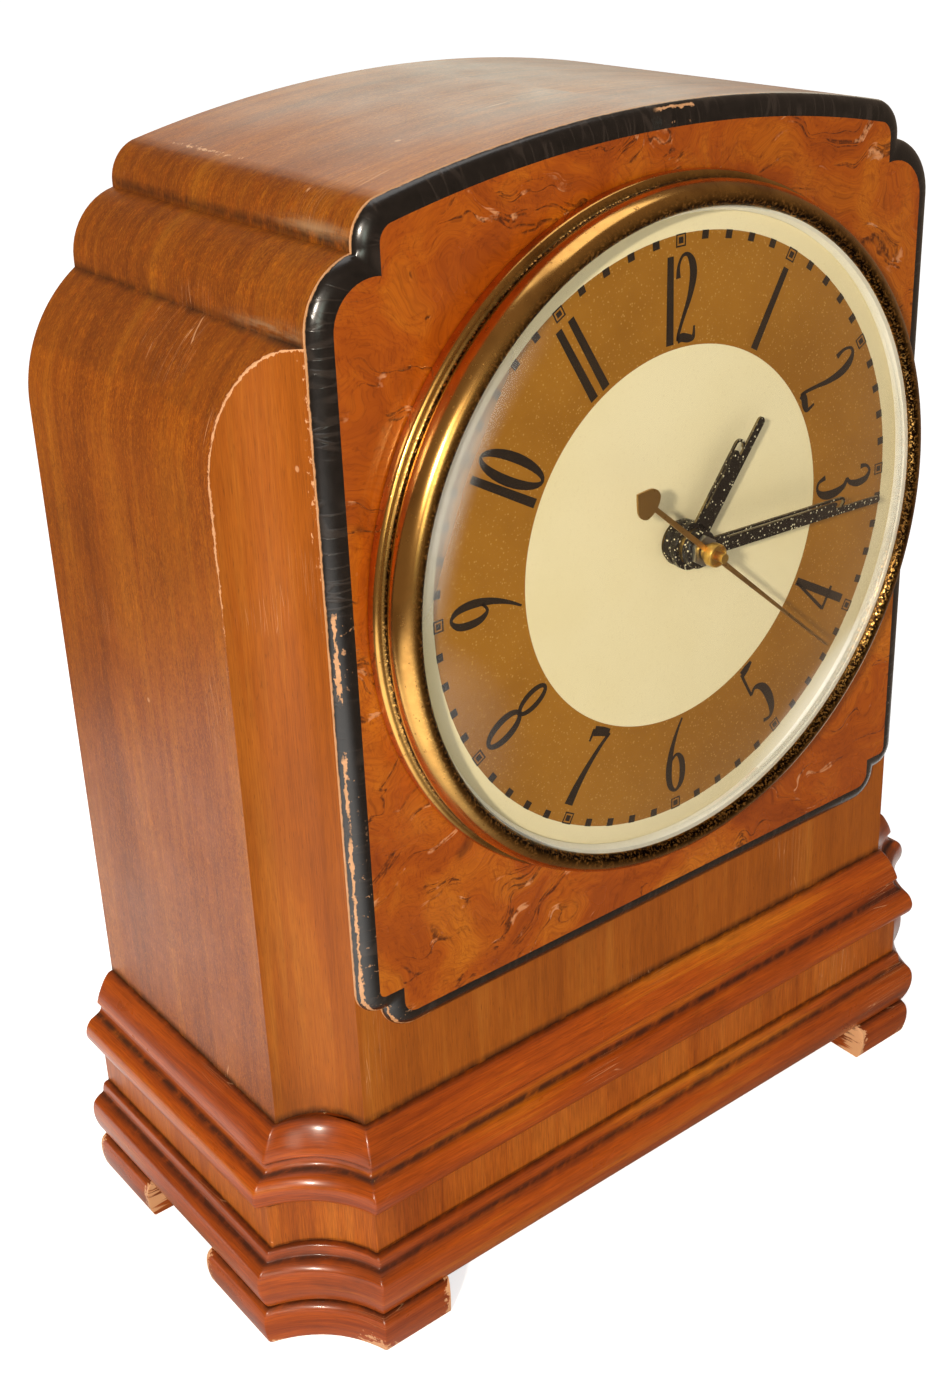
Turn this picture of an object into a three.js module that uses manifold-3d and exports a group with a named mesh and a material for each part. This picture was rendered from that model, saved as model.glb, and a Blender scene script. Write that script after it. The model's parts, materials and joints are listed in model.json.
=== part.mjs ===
// Mantel clock: a veneered wooden case on a moulded base, a raised front panel that carries a
// glazed brass bezel, and a centre-seconds synchronous movement behind the dial.
// Millimetres, +Z up, front towards -Y. The feet stand on Z = 0.
// Inside the clock group the case front is the plane Y = 0 and the case centre line is X = 0.

import * as THREE from 'three';
import { mergeVertices } from 'three/addons/utils/BufferGeometryUtils.js';
import Module from 'manifold-3d';

const wasm = await Module();
wasm.setup();

const TURN = Math.PI * 2;
const roundSides = 36;
const QUARTER = Math.PI / 2;

// Clearances
const slip = 0.3;
const pressGap = 0.12;

// Case hood
const caseHalfWidth = 89;
const scoopWidth = 13.1;
const notchWidth = 10;
const caseDepth = 79.5;
const caseHeight = 185;
const archRadius = 276;
const upperRoundRadius = 7.5;
const upperRoundProud = 0.03;
const lowerRoundRadius = 12.5;
const lowerRoundStep = 13.2;
const shoulderRadius = 29.4;
const shoulderStep = 25.9;
const hoodWall = 9;
const frontWall = 12;
const scoopLength = 11.7;
const scoopHollow = 3.6;

// Base, from the ground up
const footHeight = 9;
const bottomMouldingHeight = 14;
const friezeHeight = 10.5;
const topMouldingHeight = 17.5;
const coreInset = 9;
const coreSetback = 8;
const blockSize = 12;
const baseScoopHollow = 3.1;
const footSideReach = 32;
const footFrontReach = 16.5;
const backFootLength = 22;
const footSetIn = 6;
const frontHalfWidth = caseHalfWidth - scoopWidth;
const notchHalfWidth = frontHalfWidth - notchWidth;
const baseTop = footHeight + bottomMouldingHeight + friezeHeight + topMouldingHeight;
const crown = baseTop + caseHeight;
const archZ = crown - archRadius;
const upperRoundX = notchHalfWidth - upperRoundRadius;
const upperRoundReach = archRadius - upperRoundRadius + upperRoundProud;
const upperRoundZ = archZ + Math.sqrt(upperRoundReach ** 2 - upperRoundX ** 2);
const lowerRoundX = frontHalfWidth - lowerRoundRadius;
const lowerRoundZ = upperRoundZ - lowerRoundStep;
const shoulderX = caseHalfWidth - shoulderRadius;
const shoulderZ = lowerRoundZ - shoulderStep;

// Front panel
const panelProud = 2.7;
const veneerThickness = 0.6;
const panelBevel = 4.1;
const panelLift = 19.2;
const panelBottom = baseTop + panelLift;
const panelSideCorner = 5.5;
const panelFootCorner = 7;
const panelCornerStep = 6.3;

// Dial and bezel, radii about the dial centre and depths along Y
const dialDrop = 80.6;
const dialFace = -7.2;
const dialThickness = 0.7;
const dialRadius = 65.8;
const dialHole = 4.2;
const sightLap = 2.3;
const bezelRim = 3.1;
const bezelFront = -12.2;
const lipThickness = 0.9;
const crystalThickness = 1.4;
const crystalSag = 13.4;
const ringWall = 0.8;
const panSheet = 0.8;
const panFlange = 5.3;
const panFloorWidth = 27.5;
const panClearance = 0.8;
const dialZ = crown - dialDrop;
const sightRadius = dialRadius - sightLap;
const bezelRadius = dialRadius + bezelRim;
const panRadius = dialRadius - panFlange;
const panFloorHole = panRadius - panFloorWidth;

// Hands
const hourLength = 28;
const minuteLength = 50.5;
const secondLength = 44.5;
const secondTail = 22;
const handThickness = 0.5;
const bossWall = 1.1;
const hourPlane = -11.3;
const minutePlane = -13.6;
const secondPlane = -16.3;
const hubFront = -20.6;
const hubRadius = 2;
const hourAngle = 37.7;
const minuteAngle = 92.2;
const secondAngle = 131.5;

// Movement
const plateRadius = 42;
const plateThickness = 1.2;
const frontPlateY = 2;
const plateGap = 20.4;
const pillarCircle = 37;
const pillarRadius = 2.4;
const shaftRadius = 0.8;
const secondsShaft = 0.95;
const cannonBore = 1.25;
const cannonRadius = 2.2;
const hourBore = 2.6;
const hourPipe = 3.5;
const wheelThickness = 1.2;
const setShaft = 1.5;
const motorStandoff = 14.2;
const rotorRadius = 11.4;
const rotorThickness = 4.5;
const rotorPoles = 30;
const rotorGap = 4;
const airGap = 0.7;
const statorThickness = 5.5;
const coilLength = 21.4;
const coilBuild = 9;
const limbWidth = 12;
const postReach = 16;
const postRadius = 2;
const knobGap = 1.4;
const knobLength = 9;
const knobSeat = 5;
const setKnobRadius = 7;
const starterKnobRadius = 5.5;
const coverThickness = 1.8;
const coverInset = 1.5;
const cordBushRadius = 4.5;

const backPlateY = frontPlateY + plateThickness + plateGap;
const coverY = caseDepth;
const knobY = coverY + coverThickness + knobGap;

// Finishes
const finish = (color, roughness, metalness = 0) => ({ color, roughness, metalness });
const finishes = {
  veneer: finish(0xa85c1e, 0.35),
  burl: finish(0xb8560f, 0.3),
  ebony: finish(0x120e0c, 0.35),
  mahogany: finish(0x8c3a12, 0.28),
  frieze: finish(0xb8672e, 0.35),
  softwood: finish(0xb98a56, 0.8),
  hardboard: finish(0x5a3a20, 0.85),
  brass: finish(0xb8862a, 0.22, 1),
  wheelBrass: finish(0xc09a48, 0.35, 1),
  dial: finish(0xe8d9a8, 0.5),
  ring: finish(0xe6e2d0, 0.4),
  glass: finish(0xf2f6f4, 0.03),
  blackMetal: finish(0x1a1612, 0.4, 0.6),
  steel: finish(0x8c8c88, 0.35, 1),
  lamination: finish(0x4a4c50, 0.5, 0.9),
  coil: finish(0x6a2a14, 0.5),
  knob: finish(0x1c1a18, 0.45),
};

// Geometry helpers

// Keeps positions only, merges shared corners, drops flat triangles and turns the faces outward.
function tidy(geometry) {
  geometry.deleteAttribute('normal');
  geometry.deleteAttribute('uv');
  const merged = mergeVertices(geometry, 1e-4);
  const position = merged.getAttribute('position');
  const index = merged.getIndex().array;
  const kept = [];
  const a = new THREE.Vector3();
  const b = new THREE.Vector3();
  const c = new THREE.Vector3();
  let volume = 0;
  for (let i = 0; i < index.length; i += 3) {
    const [p, q, r] = [index[i], index[i + 1], index[i + 2]];
    if (p === q || q === r || r === p) continue;
    kept.push(p, q, r);
    a.fromBufferAttribute(position, p);
    b.fromBufferAttribute(position, q);
    c.fromBufferAttribute(position, r);
    volume += a.dot(b.cross(c));
  }
  if (volume < 0) kept.reverse();
  const result = new THREE.BufferGeometry();
  result.setAttribute('position', position);
  result.setIndex(kept);
  return result;
}

function toSolid(geometry) {
  const clean = tidy(geometry);
  return new wasm.Manifold(new wasm.Mesh({
    numProp: 3,
    vertProperties: new Float32Array(clean.getAttribute('position').array),
    triVerts: new Uint32Array(clean.getIndex().array),
  }));
}

function fromSolid(solid) {
  const mesh = solid.getMesh();
  const geometry = new THREE.BufferGeometry();
  geometry.setAttribute('position', new THREE.BufferAttribute(new Float32Array(mesh.vertProperties), 3));
  geometry.setIndex(Array.from(mesh.triVerts));
  return geometry;
}

function join(...geometries) {
  return fromSolid(geometries.map(toSolid).reduce((whole, next) => whole.add(next)));
}

function cut(body, ...tools) {
  return fromSolid(tools.map(toSolid).reduce((whole, tool) => whole.subtract(tool), toSolid(body)));
}

function moved(geometry, x, y, z) {
  return geometry.translate(x, y, z);
}

// A revolved body about the Y axis from a closed profile of [radius, y] pairs.
function revolve(profile, segments = 32) {
  const points = [...profile, profile[0]].map(([r, y]) => new THREE.Vector2(r, y));
  return tidy(new THREE.LatheGeometry(points, segments));
}

// A round bar or tube along Y between two depths.
function bar(radius, y0, y1, segments = 16) {
  return revolve([[0, y0], [radius, y0], [radius, y1], [0, y1]], segments);
}

function tube(bore, radius, y0, y1, segments = 20) {
  return revolve([[bore, y0], [radius, y0], [radius, y1], [bore, y1]], segments);
}

// A flat piece cut from sheet: the shape lies in X and Z, its thickness runs from y0 to y1.
function sheet(shape, y0, y1, curveSegments = 12) {
  const geometry = new THREE.ExtrudeGeometry(shape, { depth: y1 - y0, bevelEnabled: false, curveSegments });
  return moved(tidy(geometry.rotateX(QUARTER)), 0, y1, 0);
}

function roundHole(x, z, radius, sides = 12) {
  return new THREE.Path(arcPoints(x, z, radius, 0, TURN, sides).slice(1));
}

// Joins closed outlines that have the same number of points, and caps both ends.
// place(point, level) gives the corner in space.
function loft(levels, place) {
  const count = levels[0].points.length;
  if (THREE.ShapeUtils.isClockWise(levels[0].points)) {
    for (const level of levels) level.points = [...level.points].reverse();
  }
  const positions = [];
  const index = [];
  for (const level of levels) {
    for (const point of level.points) positions.push(...place(point, level));
  }
  for (let i = 0; i + 1 < levels.length; i++) {
    for (let j = 0; j < count; j++) {
      const a = i * count + j;
      const b = i * count + (j + 1) % count;
      index.push(a, b, a + count, b, b + count, a + count);
    }
  }
  const last = (levels.length - 1) * count;
  for (const [p, q, r] of THREE.ShapeUtils.triangulateShape(levels[0].points, [])) index.push(r, q, p);
  for (const [p, q, r] of THREE.ShapeUtils.triangulateShape(levels.at(-1).points, [])) {
    index.push(last + p, last + q, last + r);
  }
  const geometry = new THREE.BufferGeometry();
  geometry.setAttribute('position', new THREE.Float32BufferAttribute(positions, 3));
  geometry.setIndex(index);
  return tidy(geometry);
}

function arcPoints(cx, cz, radius, from, to, steps) {
  return Array.from({ length: steps + 1 }, (_, i) => {
    const angle = from + (to - from) * i / steps;
    return new THREE.Vector2(cx + radius * Math.cos(angle), cz + radius * Math.sin(angle));
  });
}

function mirrored(half) {
  return [...half, ...half.map((p) => new THREE.Vector2(-p.x, p.y)).reverse()];
}

// Case outline

// Angle on a round, about its own centre, at which it leaves the arch of the top.
function archCrossing(cx, cz, radius, arch) {
  const dz = archZ - cz;
  const distance = Math.hypot(cx, dz);
  const along = (distance ** 2 + radius ** 2 - arch ** 2) / (2 * distance * radius);
  return Math.atan2(dz, -cx) + Math.acos(along);
}

// The right half of the top, from the crown down to the lower round's foot, set in by inset.
function topHalf(inset) {
  const arch = archRadius - inset;
  const upper = { x: upperRoundX, z: upperRoundZ, r: upperRoundRadius - inset };
  const lower = { x: lowerRoundX, z: lowerRoundZ, r: lowerRoundRadius - inset };
  const start = archCrossing(upper.x, upper.z, upper.r, arch);
  const meetX = upper.x + upper.r * Math.cos(start);
  const archEnd = Math.acos(meetX / arch);
  const lowerStart = Math.acos(Math.min(1, (upper.x + upper.r - lower.x) / lower.r));
  return [
    ...arcPoints(0, archZ, arch, QUARTER, archEnd, 9).slice(1),
    ...arcPoints(upper.x, upper.z, upper.r, start, 0, 5).slice(1),
    ...arcPoints(lower.x, lower.z, lower.r, lowerStart, 0, 6),
  ];
}

function hoodOutline() {
  const start = Math.acos((frontHalfWidth - shoulderX) / shoulderRadius);
  const half = [
    ...topHalf(0),
    ...arcPoints(shoulderX, shoulderZ, shoulderRadius, start, 0, 8),
    new THREE.Vector2(caseHalfWidth, baseTop),
  ];
  return [new THREE.Vector2(0, crown), ...mirrored(half)];
}

function cavityOutline(bottom) {
  const side = caseHalfWidth - hoodWall;
  const radius = shoulderRadius - hoodWall;
  const stepX = frontHalfWidth - hoodWall;
  const arch = archRadius - hoodWall;
  const archX = notchHalfWidth - hoodWall;
  const half = [
    ...arcPoints(0, archZ, arch, QUARTER, Math.acos(archX / arch), 6).slice(1),
    new THREE.Vector2(stepX, lowerRoundZ),
    ...arcPoints(shoulderX, shoulderZ, radius, Math.acos((stepX - shoulderX) / radius), 0, 5),
    new THREE.Vector2(side, bottom),
  ];
  return mirrored(half);
}

function panelOutline(inset) {
  const side = frontHalfWidth - inset;
  const sideZ = panelBottom + panelCornerStep + panelSideCorner;
  const sideX = frontHalfWidth - panelSideCorner;
  const footX = sideX - panelFootCorner;
  const footZ = panelBottom + panelFootCorner;
  const half = [
    ...topHalf(inset),
    new THREE.Vector2(side, sideZ),
    ...arcPoints(sideX, sideZ, panelSideCorner - inset, 0, -QUARTER, 4).slice(1),
    new THREE.Vector2(sideX - inset, sideZ - panelSideCorner + inset),
    ...arcPoints(footX, footZ, panelFootCorner - inset, 0, -QUARTER, 5),
  ];
  return [new THREE.Vector2(0, crown - inset), ...mirrored(half)];
}

// Plan of the case and base corner at an outward offset: from the back of the left side,
// round the scooped corner, to the middle of the front. X and Y.
function planHalf(offset, hollow) {
  const sideX = -(caseHalfWidth + offset);
  const side = new THREE.Vector2(sideX, scoopLength - 0.3 * offset);
  const front = new THREE.Vector2(-(frontHalfWidth + 0.5 * offset), -offset);
  const inward = new THREE.Vector2(side.y - front.y, front.x - side.x).normalize();
  const arc = Array.from({ length: 7 }, (_, i) => {
    const t = i / 6;
    return side.clone().lerp(front, t).addScaledVector(inward, hollow * (1 - (2 * t - 1) ** 2));
  });
  return [new THREE.Vector2(sideX, caseDepth), ...arc];
}

const across = (point) => new THREE.Vector2(-point.x, point.y);

// Base pieces

// A moulding that runs round the left side, the front and the right side of the core.
function moulding(profile) {
  const inner = [
    new THREE.Vector2(caseHalfWidth - coreInset, caseDepth),
    new THREE.Vector2(caseHalfWidth - coreInset, coreSetback),
    new THREE.Vector2(coreInset - caseHalfWidth, coreSetback),
    new THREE.Vector2(coreInset - caseHalfWidth, caseDepth),
  ];
  const levels = profile.map(([offset, z]) => {
    const half = planHalf(offset, baseScoopHollow);
    return { z, points: [...half, ...half.map(across).reverse(), ...inner] };
  });
  return loft(levels, (point, level) => [point.x, point.y, level.z]);
}

const bottomMouldingTop = footHeight + bottomMouldingHeight;
const friezeTop = bottomMouldingTop + friezeHeight;
const friezeProud = 4.7;

function bottomMouldingProfile() {
  const torus = arcProfile(6.6, footHeight + 5.6, 2.8, 5.4, -78, 68, 6);
  return [
    [6.4, footHeight],
    ...torus,
    [6.3, bottomMouldingTop - 2.6],
    [6.0, bottomMouldingTop - 1.2],
    [5.2, bottomMouldingTop],
  ];
}

// Points of an upright half-oval nosing: centre offset and height, reach out, half height.
function arcProfile(offset, z, reach, halfHeight, fromDegrees, toDegrees, steps) {
  return Array.from({ length: steps + 1 }, (_, i) => {
    const angle = THREE.MathUtils.degToRad(fromDegrees + (toDegrees - fromDegrees) * i / steps);
    return [offset + reach * Math.cos(angle), z + halfHeight * Math.sin(angle)];
  });
}

function topMouldingProfile() {
  const beadZ = friezeTop + 4.4;
  const filletZ = friezeTop + 8.8;
  const filletTop = filletZ + 2;
  const ovoloHeight = baseTop - filletTop;
  const ovolo = Array.from({ length: 4 }, (_, i) => {
    const angle = QUARTER * (i + 1) / 4;
    return [0.9 + 3.6 * Math.cos(angle), filletTop + ovoloHeight * Math.sin(angle)];
  });
  return [
    [5.0, friezeTop],
    [5.7, friezeTop + 1.4],
    ...arcProfile(5.9, beadZ, 2, 2.7, -75, 75, 5),
    [5.1, friezeTop + 7.8],
    [4.5, filletZ],
    [4.5, filletTop],
    ...ovolo,
  ];
}

function frieze() {
  return moulding([[friezeProud, bottomMouldingTop], [friezeProud, friezeTop]]);
}

function nosing(z) {
  return 6.2 + 2.6 * Math.sin(Math.PI * Math.min(1, 0.14 + z / footHeight * 0.72));
}

const footLevels = [0, 0.2, 0.45, 0.7, 0.88, 1].map((share) => share * footHeight);

function frontFoot(side) {
  const levels = footLevels.map((z) => {
    const offset = nosing(z);
    const path = planHalf(offset, baseScoopHollow).slice(1);
    const frontX = path.at(-1).x;
    const points = [
      new THREE.Vector2(-(caseHalfWidth + offset), footSideReach),
      ...path,
      new THREE.Vector2(frontX + footFrontReach, -offset),
      new THREE.Vector2(frontX + footFrontReach, footSetIn),
      new THREE.Vector2(-(caseHalfWidth - footSetIn), footSetIn),
      new THREE.Vector2(-(caseHalfWidth - footSetIn), footSideReach),
    ];
    return { z, points };
  });
  return loft(levels, (point, level) => [point.x * side, point.y, level.z]);
}

function backFoot(side) {
  const levels = footLevels.map((z) => {
    const outer = -(caseHalfWidth + nosing(z));
    const inner = -(caseHalfWidth - footSetIn);
    const points = [
      new THREE.Vector2(outer, caseDepth),
      new THREE.Vector2(outer, caseDepth - backFootLength),
      new THREE.Vector2(inner, caseDepth - backFootLength),
      new THREE.Vector2(inner, caseDepth),
    ];
    return { z, points };
  });
  return loft(levels, (point, level) => [point.x * side, point.y, level.z]);
}

function box(x0, x1, y0, y1, z0, z1) {
  const block = tidy(new THREE.BoxGeometry(x1 - x0, y1 - y0, z1 - z0));
  return moved(block, (x0 + x1) / 2, (y0 + y1) / 2, (z0 + z1) / 2);
}

// Case pieces

const toXZ = (point, level) => [point.x, level.y, point.y];
const clampAngles = [30, 150, 270].map(THREE.MathUtils.degToRad);
const clampScrewCircle = panRadius + 8;
const clampWidth = 10;
const clampSheet = 1.2;
const clampScrewRadius = 1.5;
const clampScrewDepth = 8;

function onDial(radius, angle) {
  return [radius * Math.cos(angle), dialZ + radius * Math.sin(angle)];
}

function caseHood() {
  const outline = hoodOutline();
  const blank = loft([{ y: 0, points: outline }, { y: caseDepth, points: outline }], toXZ);
  const inside = cavityOutline(baseTop - 1);
  const cavity = loft([{ y: frontWall, points: inside }, { y: caseDepth + 1, points: inside }], toXZ);
  const scoops = [-1, 1].map((side) => {
    const arc = planHalf(0, scoopHollow).slice(1);
    const away = new THREE.Vector2(-caseHalfWidth - scoopLength, -scoopLength);
    const points = [...arc, new THREE.Vector2(-frontHalfWidth, -scoopLength), away,
      new THREE.Vector2(-caseHalfWidth - scoopLength, scoopLength)];
    const top = lowerRoundZ + 1;
    return loft([{ z: baseTop - 1, points }, { z: top, points }], (p, level) => [p.x * side, p.y, level.z]);
  });
  const opening = moved(bar(panRadius + panClearance, -1, frontWall + 1, roundSides), 0, 0, dialZ);
  const pilots = clampAngles.map((angle) => {
    const [x, z] = onDial(clampScrewCircle, angle);
    const tip = frontWall - clampScrewDepth - slip;
    return moved(bar(clampScrewRadius + slip, tip, frontWall + 1, 10), x, 0, z);
  });
  const tip = coverY + coverThickness - coverScrewDepth - slip;
  const backPilots = coverScrews.map(([x, z]) => (
    moved(bar(coverScrewRadius + slip, tip, caseDepth + 1, 10), x, 0, z)
  ));
  return cut(blank, cavity, ...scoops, opening, ...pilots, ...backPilots);
}

// Depth and inset of the panel's rounded edge, from the case to the face.
function panelEdge(steps) {
  const rise = panelProud - veneerThickness;
  return Array.from({ length: steps + 1 }, (_, i) => {
    const angle = QUARTER * i / steps;
    return { inset: panelBevel * (1 - Math.cos(angle)), y: -rise * Math.sin(angle) };
  });
}

function dialOpening() {
  return moved(bar(panRadius + panClearance, -panelProud - 1, 1, roundSides), 0, 0, dialZ);
}

function frontPanel() {
  const levels = panelEdge(3).map(({ inset, y }) => ({ y, points: panelOutline(inset) }));
  return cut(loft(levels, toXZ), dialOpening());
}

function burlVeneer() {
  const points = panelOutline(panelBevel);
  const levels = [{ y: -panelProud, points }, { y: veneerThickness - panelProud, points }];
  return cut(loft(levels, toXZ), dialOpening());
}

// Bezel, glass and dial

const lipBack = bezelFront + lipThickness + 0.7;
const crystalFront = lipBack + pressGap;
const crystalBack = crystalFront + crystalThickness;
const recess = dialRadius + slip;

function bezel() {
  const r = bezelRadius;
  const y = -panelProud;
  const bead = Array.from({ length: 6 }, (_, i) => {
    const angle = THREE.MathUtils.degToRad(10 + 28 * i);
    return [sightRadius + 2.2 + 2.2 * Math.cos(angle), bezelFront + 3 - 3 * Math.sin(angle)];
  });
  return revolve([
    [recess, y],
    [r, y],
    [r + 0.35, y - 0.6],
    [r + 0.35, y - 1.9],
    [r - 0.9, y - 3.1],
    [r - 1.2, y - 4.1],
    ...bead,
    [sightRadius, lipBack],
    [recess, lipBack],
  ], roundSides);
}

function crystal() {
  const inner = sightRadius - slip;
  const steps = [1, 0.87, 0.71, 0.42, 0];
  const outside = steps.map((share) => [inner * share, crystalFront - crystalSag * (1 - share ** 2.4)]);
  const inside = outside.map(([r, y]) => [r, y + crystalThickness]).reverse();
  return revolve([
    [dialRadius, crystalBack],
    [dialRadius, crystalFront],
    ...outside,
    ...inside,
  ], roundSides);
}

function reflectorRing() {
  const y0 = crystalBack + pressGap;
  const y1 = dialFace - pressGap;
  const bore = sightRadius - ringWall + 0.2;
  return revolve([
    [bore, y0],
    [dialRadius, y0],
    [dialRadius, y1],
    [bore - 0.6, y1],
  ], roundSides);
}

function dialPlate() {
  return tube(dialHole, dialRadius, dialFace, dialFace + dialThickness, roundSides);
}

function dialPan() {
  const flange = dialFace + dialThickness;
  return revolve([
    [dialRadius, flange],
    [dialRadius, flange + panSheet],
    [panRadius, flange + panSheet],
    [panRadius, frontPlateY],
    [panFloorHole, frontPlateY],
    [panFloorHole, frontPlateY - panSheet],
    [panRadius - panSheet, frontPlateY - panSheet],
    [panRadius - panSheet, flange],
  ], roundSides);
}

function caseClamp(angle) {
  const inner = panRadius - 2;
  const shape = new THREE.Shape([
    [inner, frontPlateY + pressGap],
    [inner + clampSheet, frontPlateY + pressGap],
    [inner + clampSheet, frontWall],
    [clampScrewCircle + 5, frontWall],
    [clampScrewCircle + 5, frontWall + clampSheet],
    [inner, frontWall + clampSheet],
  ].map(([r, y]) => new THREE.Vector2(r, y)));
  const strip = tidy(new THREE.ExtrudeGeometry(shape, { depth: clampWidth, bevelEnabled: false }));
  const bore = bar(clampScrewRadius + slip, frontWall - 1, frontWall + clampSheet + 1, 10);
  const clamp = cut(moved(strip, 0, 0, -clampWidth / 2), moved(bore, clampScrewCircle, 0, 0));
  return moved(clamp.rotateY(-angle), 0, 0, dialZ);
}

function screw(headRadius, shankRadius, length, headHeight, slot) {
  const body = revolve([
    [0, -length],
    [shankRadius, 2 - length],
    [shankRadius, 0],
    [headRadius, 0],
    [headRadius * 0.6, headHeight],
    [0, headHeight],
  ], 6);
  return cut(body, box(-headRadius, headRadius, headHeight * 0.5, headHeight + 1, -slot / 2, slot / 2));
}

function clampScrew(angle) {
  const [x, z] = onDial(clampScrewCircle, angle);
  return moved(screw(2.8, clampScrewRadius, clampScrewDepth, 1.4, 0.7), x, frontWall + clampSheet, z);
}

// Gears. A wheel is a trapezoid-toothed shape about (x, z), with a tooth at the given angle.

const toothTip = 0.07;
const addendum = 0.65;
const dedendum = 1;

function gearShape(teeth, module, tooth, bore = 0) {
  const pitch = TURN / teeth;
  const radius = module * teeth / 2;
  const points = [];
  for (let k = 0; k < teeth; k++) {
    const angle = tooth + k * pitch;
    const corners = [
      [radius - dedendum * module, -0.5],
      [radius + addendum * module, -toothTip],
      [radius + addendum * module, toothTip],
    ];
    for (const [r, share] of corners) {
      const a = angle + share * pitch;
      points.push(new THREE.Vector2(r * Math.cos(a), r * Math.sin(a)));
    }
  }
  const shape = new THREE.Shape(points);
  if (bore > 0) shape.holes.push(roundHole(0, 0, bore));
  return shape;
}

// Where the mate of a gear has a tooth, when the gear's own centre sees the mate at phi.
function meshed(tooth, pair, phi, known) {
  const mate = known === 'wheel' ? 'pinion' : 'wheel';
  const lag = (tooth - phi) / (TURN / pair[known]);
  return phi + Math.PI - lag * (TURN / pair[mate]) + Math.PI / pair[mate];
}

// One stage of a train: the leaves of the pinion, the teeth of the wheel and their distance.
function stage(pinion, wheel, distance) {
  return { pinion, wheel, distance, module: 2 * distance / (pinion + wheel) };
}

// Leaves of the pinions and teeth of the wheels
const leaves = 6;
const firstTeeth = 36;
const secondTeeth = 30;
const coaxialTeeth = 48;
const centreTeeth = 45;
const motionLeaves = 8;
const minuteTeeth = 24;
const hourTeeth = 32;
const rotorDistance = 12.6;
const firstDistance = 13.2;
const secondDistance = 18;
const coaxialDistance = 18;
const motionDistance = 14.4;
const train = {
  rotorToFirst: stage(leaves, firstTeeth, rotorDistance),
  firstToSecond: stage(leaves, secondTeeth, firstDistance),
  secondToSeconds: stage(leaves, coaxialTeeth, secondDistance),
  secondsToThird: stage(leaves, coaxialTeeth, coaxialDistance),
  thirdToCentre: stage(leaves, centreTeeth, coaxialDistance),
  cannonToMinute: stage(motionLeaves, minuteTeeth, motionDistance),
  minuteToHour: stage(motionLeaves, hourTeeth, motionDistance),
};

function step([x, z], distance, angle) {
  return [x + distance * Math.cos(angle), z + distance * Math.sin(angle)];
}

// Directions from one arbor to the next, as seen from the front
const toSecond = -TURN / 8;
const toFirst = -TURN * 3 / 8;
const toRotor = Math.PI;
const toThird = TURN * 3 / 8;
const toMinute = TURN / 8;
const toSet = 0;

const centre = [0, 0];
const secondArbor = step(centre, train.secondToSeconds.distance, toSecond);
const firstArbor = step(secondArbor, train.firstToSecond.distance, toFirst);
const rotorArbor = step(firstArbor, train.rotorToFirst.distance, toRotor);
const thirdArbor = step(centre, coaxialDistance, toThird);
const minuteArbor = step(centre, motionDistance, toMinute);
const setArbor = step(minuteArbor, motionDistance, toSet);

// Depths of the wheels behind the front plate
const behindPlate = frontPlateY + plateThickness;
const centreWheelY = behindPlate + 1.2;
const thirdWheelY = behindPlate + 5.4;
const secondsWheelY = behindPlate + 9.4;
const secondWheelY = behindPlate + 13;
const firstWheelY = behindPlate + 16.8;
const pinionOverhang = 0.5;

function gear(teeth, module, tooth, y0, y1, bore = 0) {
  return sheet(gearShape(teeth, module, tooth, bore), y0, y1);
}

function trainWheel({ wheel, module }, tooth, y, bore = 0) {
  return gear(wheel, module, tooth, y, y + wheelThickness, bore);
}

function trainPinion({ pinion, module }, tooth, y) {
  return gear(pinion, module, tooth, y - pinionOverhang, y + wheelThickness + pinionOverhang);
}

// Tooth angles, worked along the train from the seconds wheel
const secondsTooth = 0;
const secondPinionTooth = meshed(secondsTooth, train.secondToSeconds, toSecond, 'wheel');
const secondWheelTooth = 0;
const firstPinionTooth = meshed(secondWheelTooth, train.firstToSecond, toFirst, 'wheel');
const firstWheelTooth = 0;
const rotorPinionTooth = meshed(firstWheelTooth, train.rotorToFirst, toRotor, 'wheel');
const secondsPinionTooth = 0;
const thirdWheelTooth = meshed(secondsPinionTooth, train.secondsToThird, toThird, 'pinion');
const thirdPinionTooth = 0;
const centreWheelTooth = meshed(thirdPinionTooth, train.thirdToCentre, toThird + Math.PI, 'pinion');
const cannonTooth = 0;
const minuteWheelTooth = meshed(cannonTooth, train.cannonToMinute, toMinute, 'pinion');
const setPinionTooth = meshed(minuteWheelTooth, train.cannonToMinute, toSet, 'wheel');
const minutePinionTooth = 0;
const hourWheelTooth = meshed(minutePinionTooth, train.minuteToHour, toMinute + Math.PI, 'pinion');

function arbor(radius, y0, y1) {
  return bar(radius, y0, y1, 12);
}

const motorFace = backPlateY + plateThickness;
const pivotEnd = motorFace + 0.6;
const pivotStart = frontPlateY + 0.2;

const minuteWheelY = frontPlateY - 3;
const minuteWheelThickness = 1.8;
const minutePinionTop = minuteWheelY - 3.6;
const hourWheelY = minutePinionTop + 0.3;
const studRadius = 0.9;
const studEnd = minutePinionTop - 0.4;

function firstWheel() {
  return join(
    arbor(shaftRadius, pivotStart, pivotEnd),
    trainWheel(train.rotorToFirst, firstWheelTooth, firstWheelY),
    trainPinion(train.firstToSecond, firstPinionTooth, secondWheelY),
  );
}

function secondWheel() {
  return join(
    arbor(shaftRadius, pivotStart, pivotEnd),
    trainWheel(train.firstToSecond, secondWheelTooth, secondWheelY),
    trainPinion(train.secondToSeconds, secondPinionTooth, secondsWheelY),
  );
}

function thirdWheel() {
  return join(
    arbor(shaftRadius, pivotStart, pivotEnd),
    trainWheel(train.secondsToThird, thirdWheelTooth, thirdWheelY),
    trainPinion(train.thirdToCentre, thirdPinionTooth, centreWheelY),
  );
}

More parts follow.
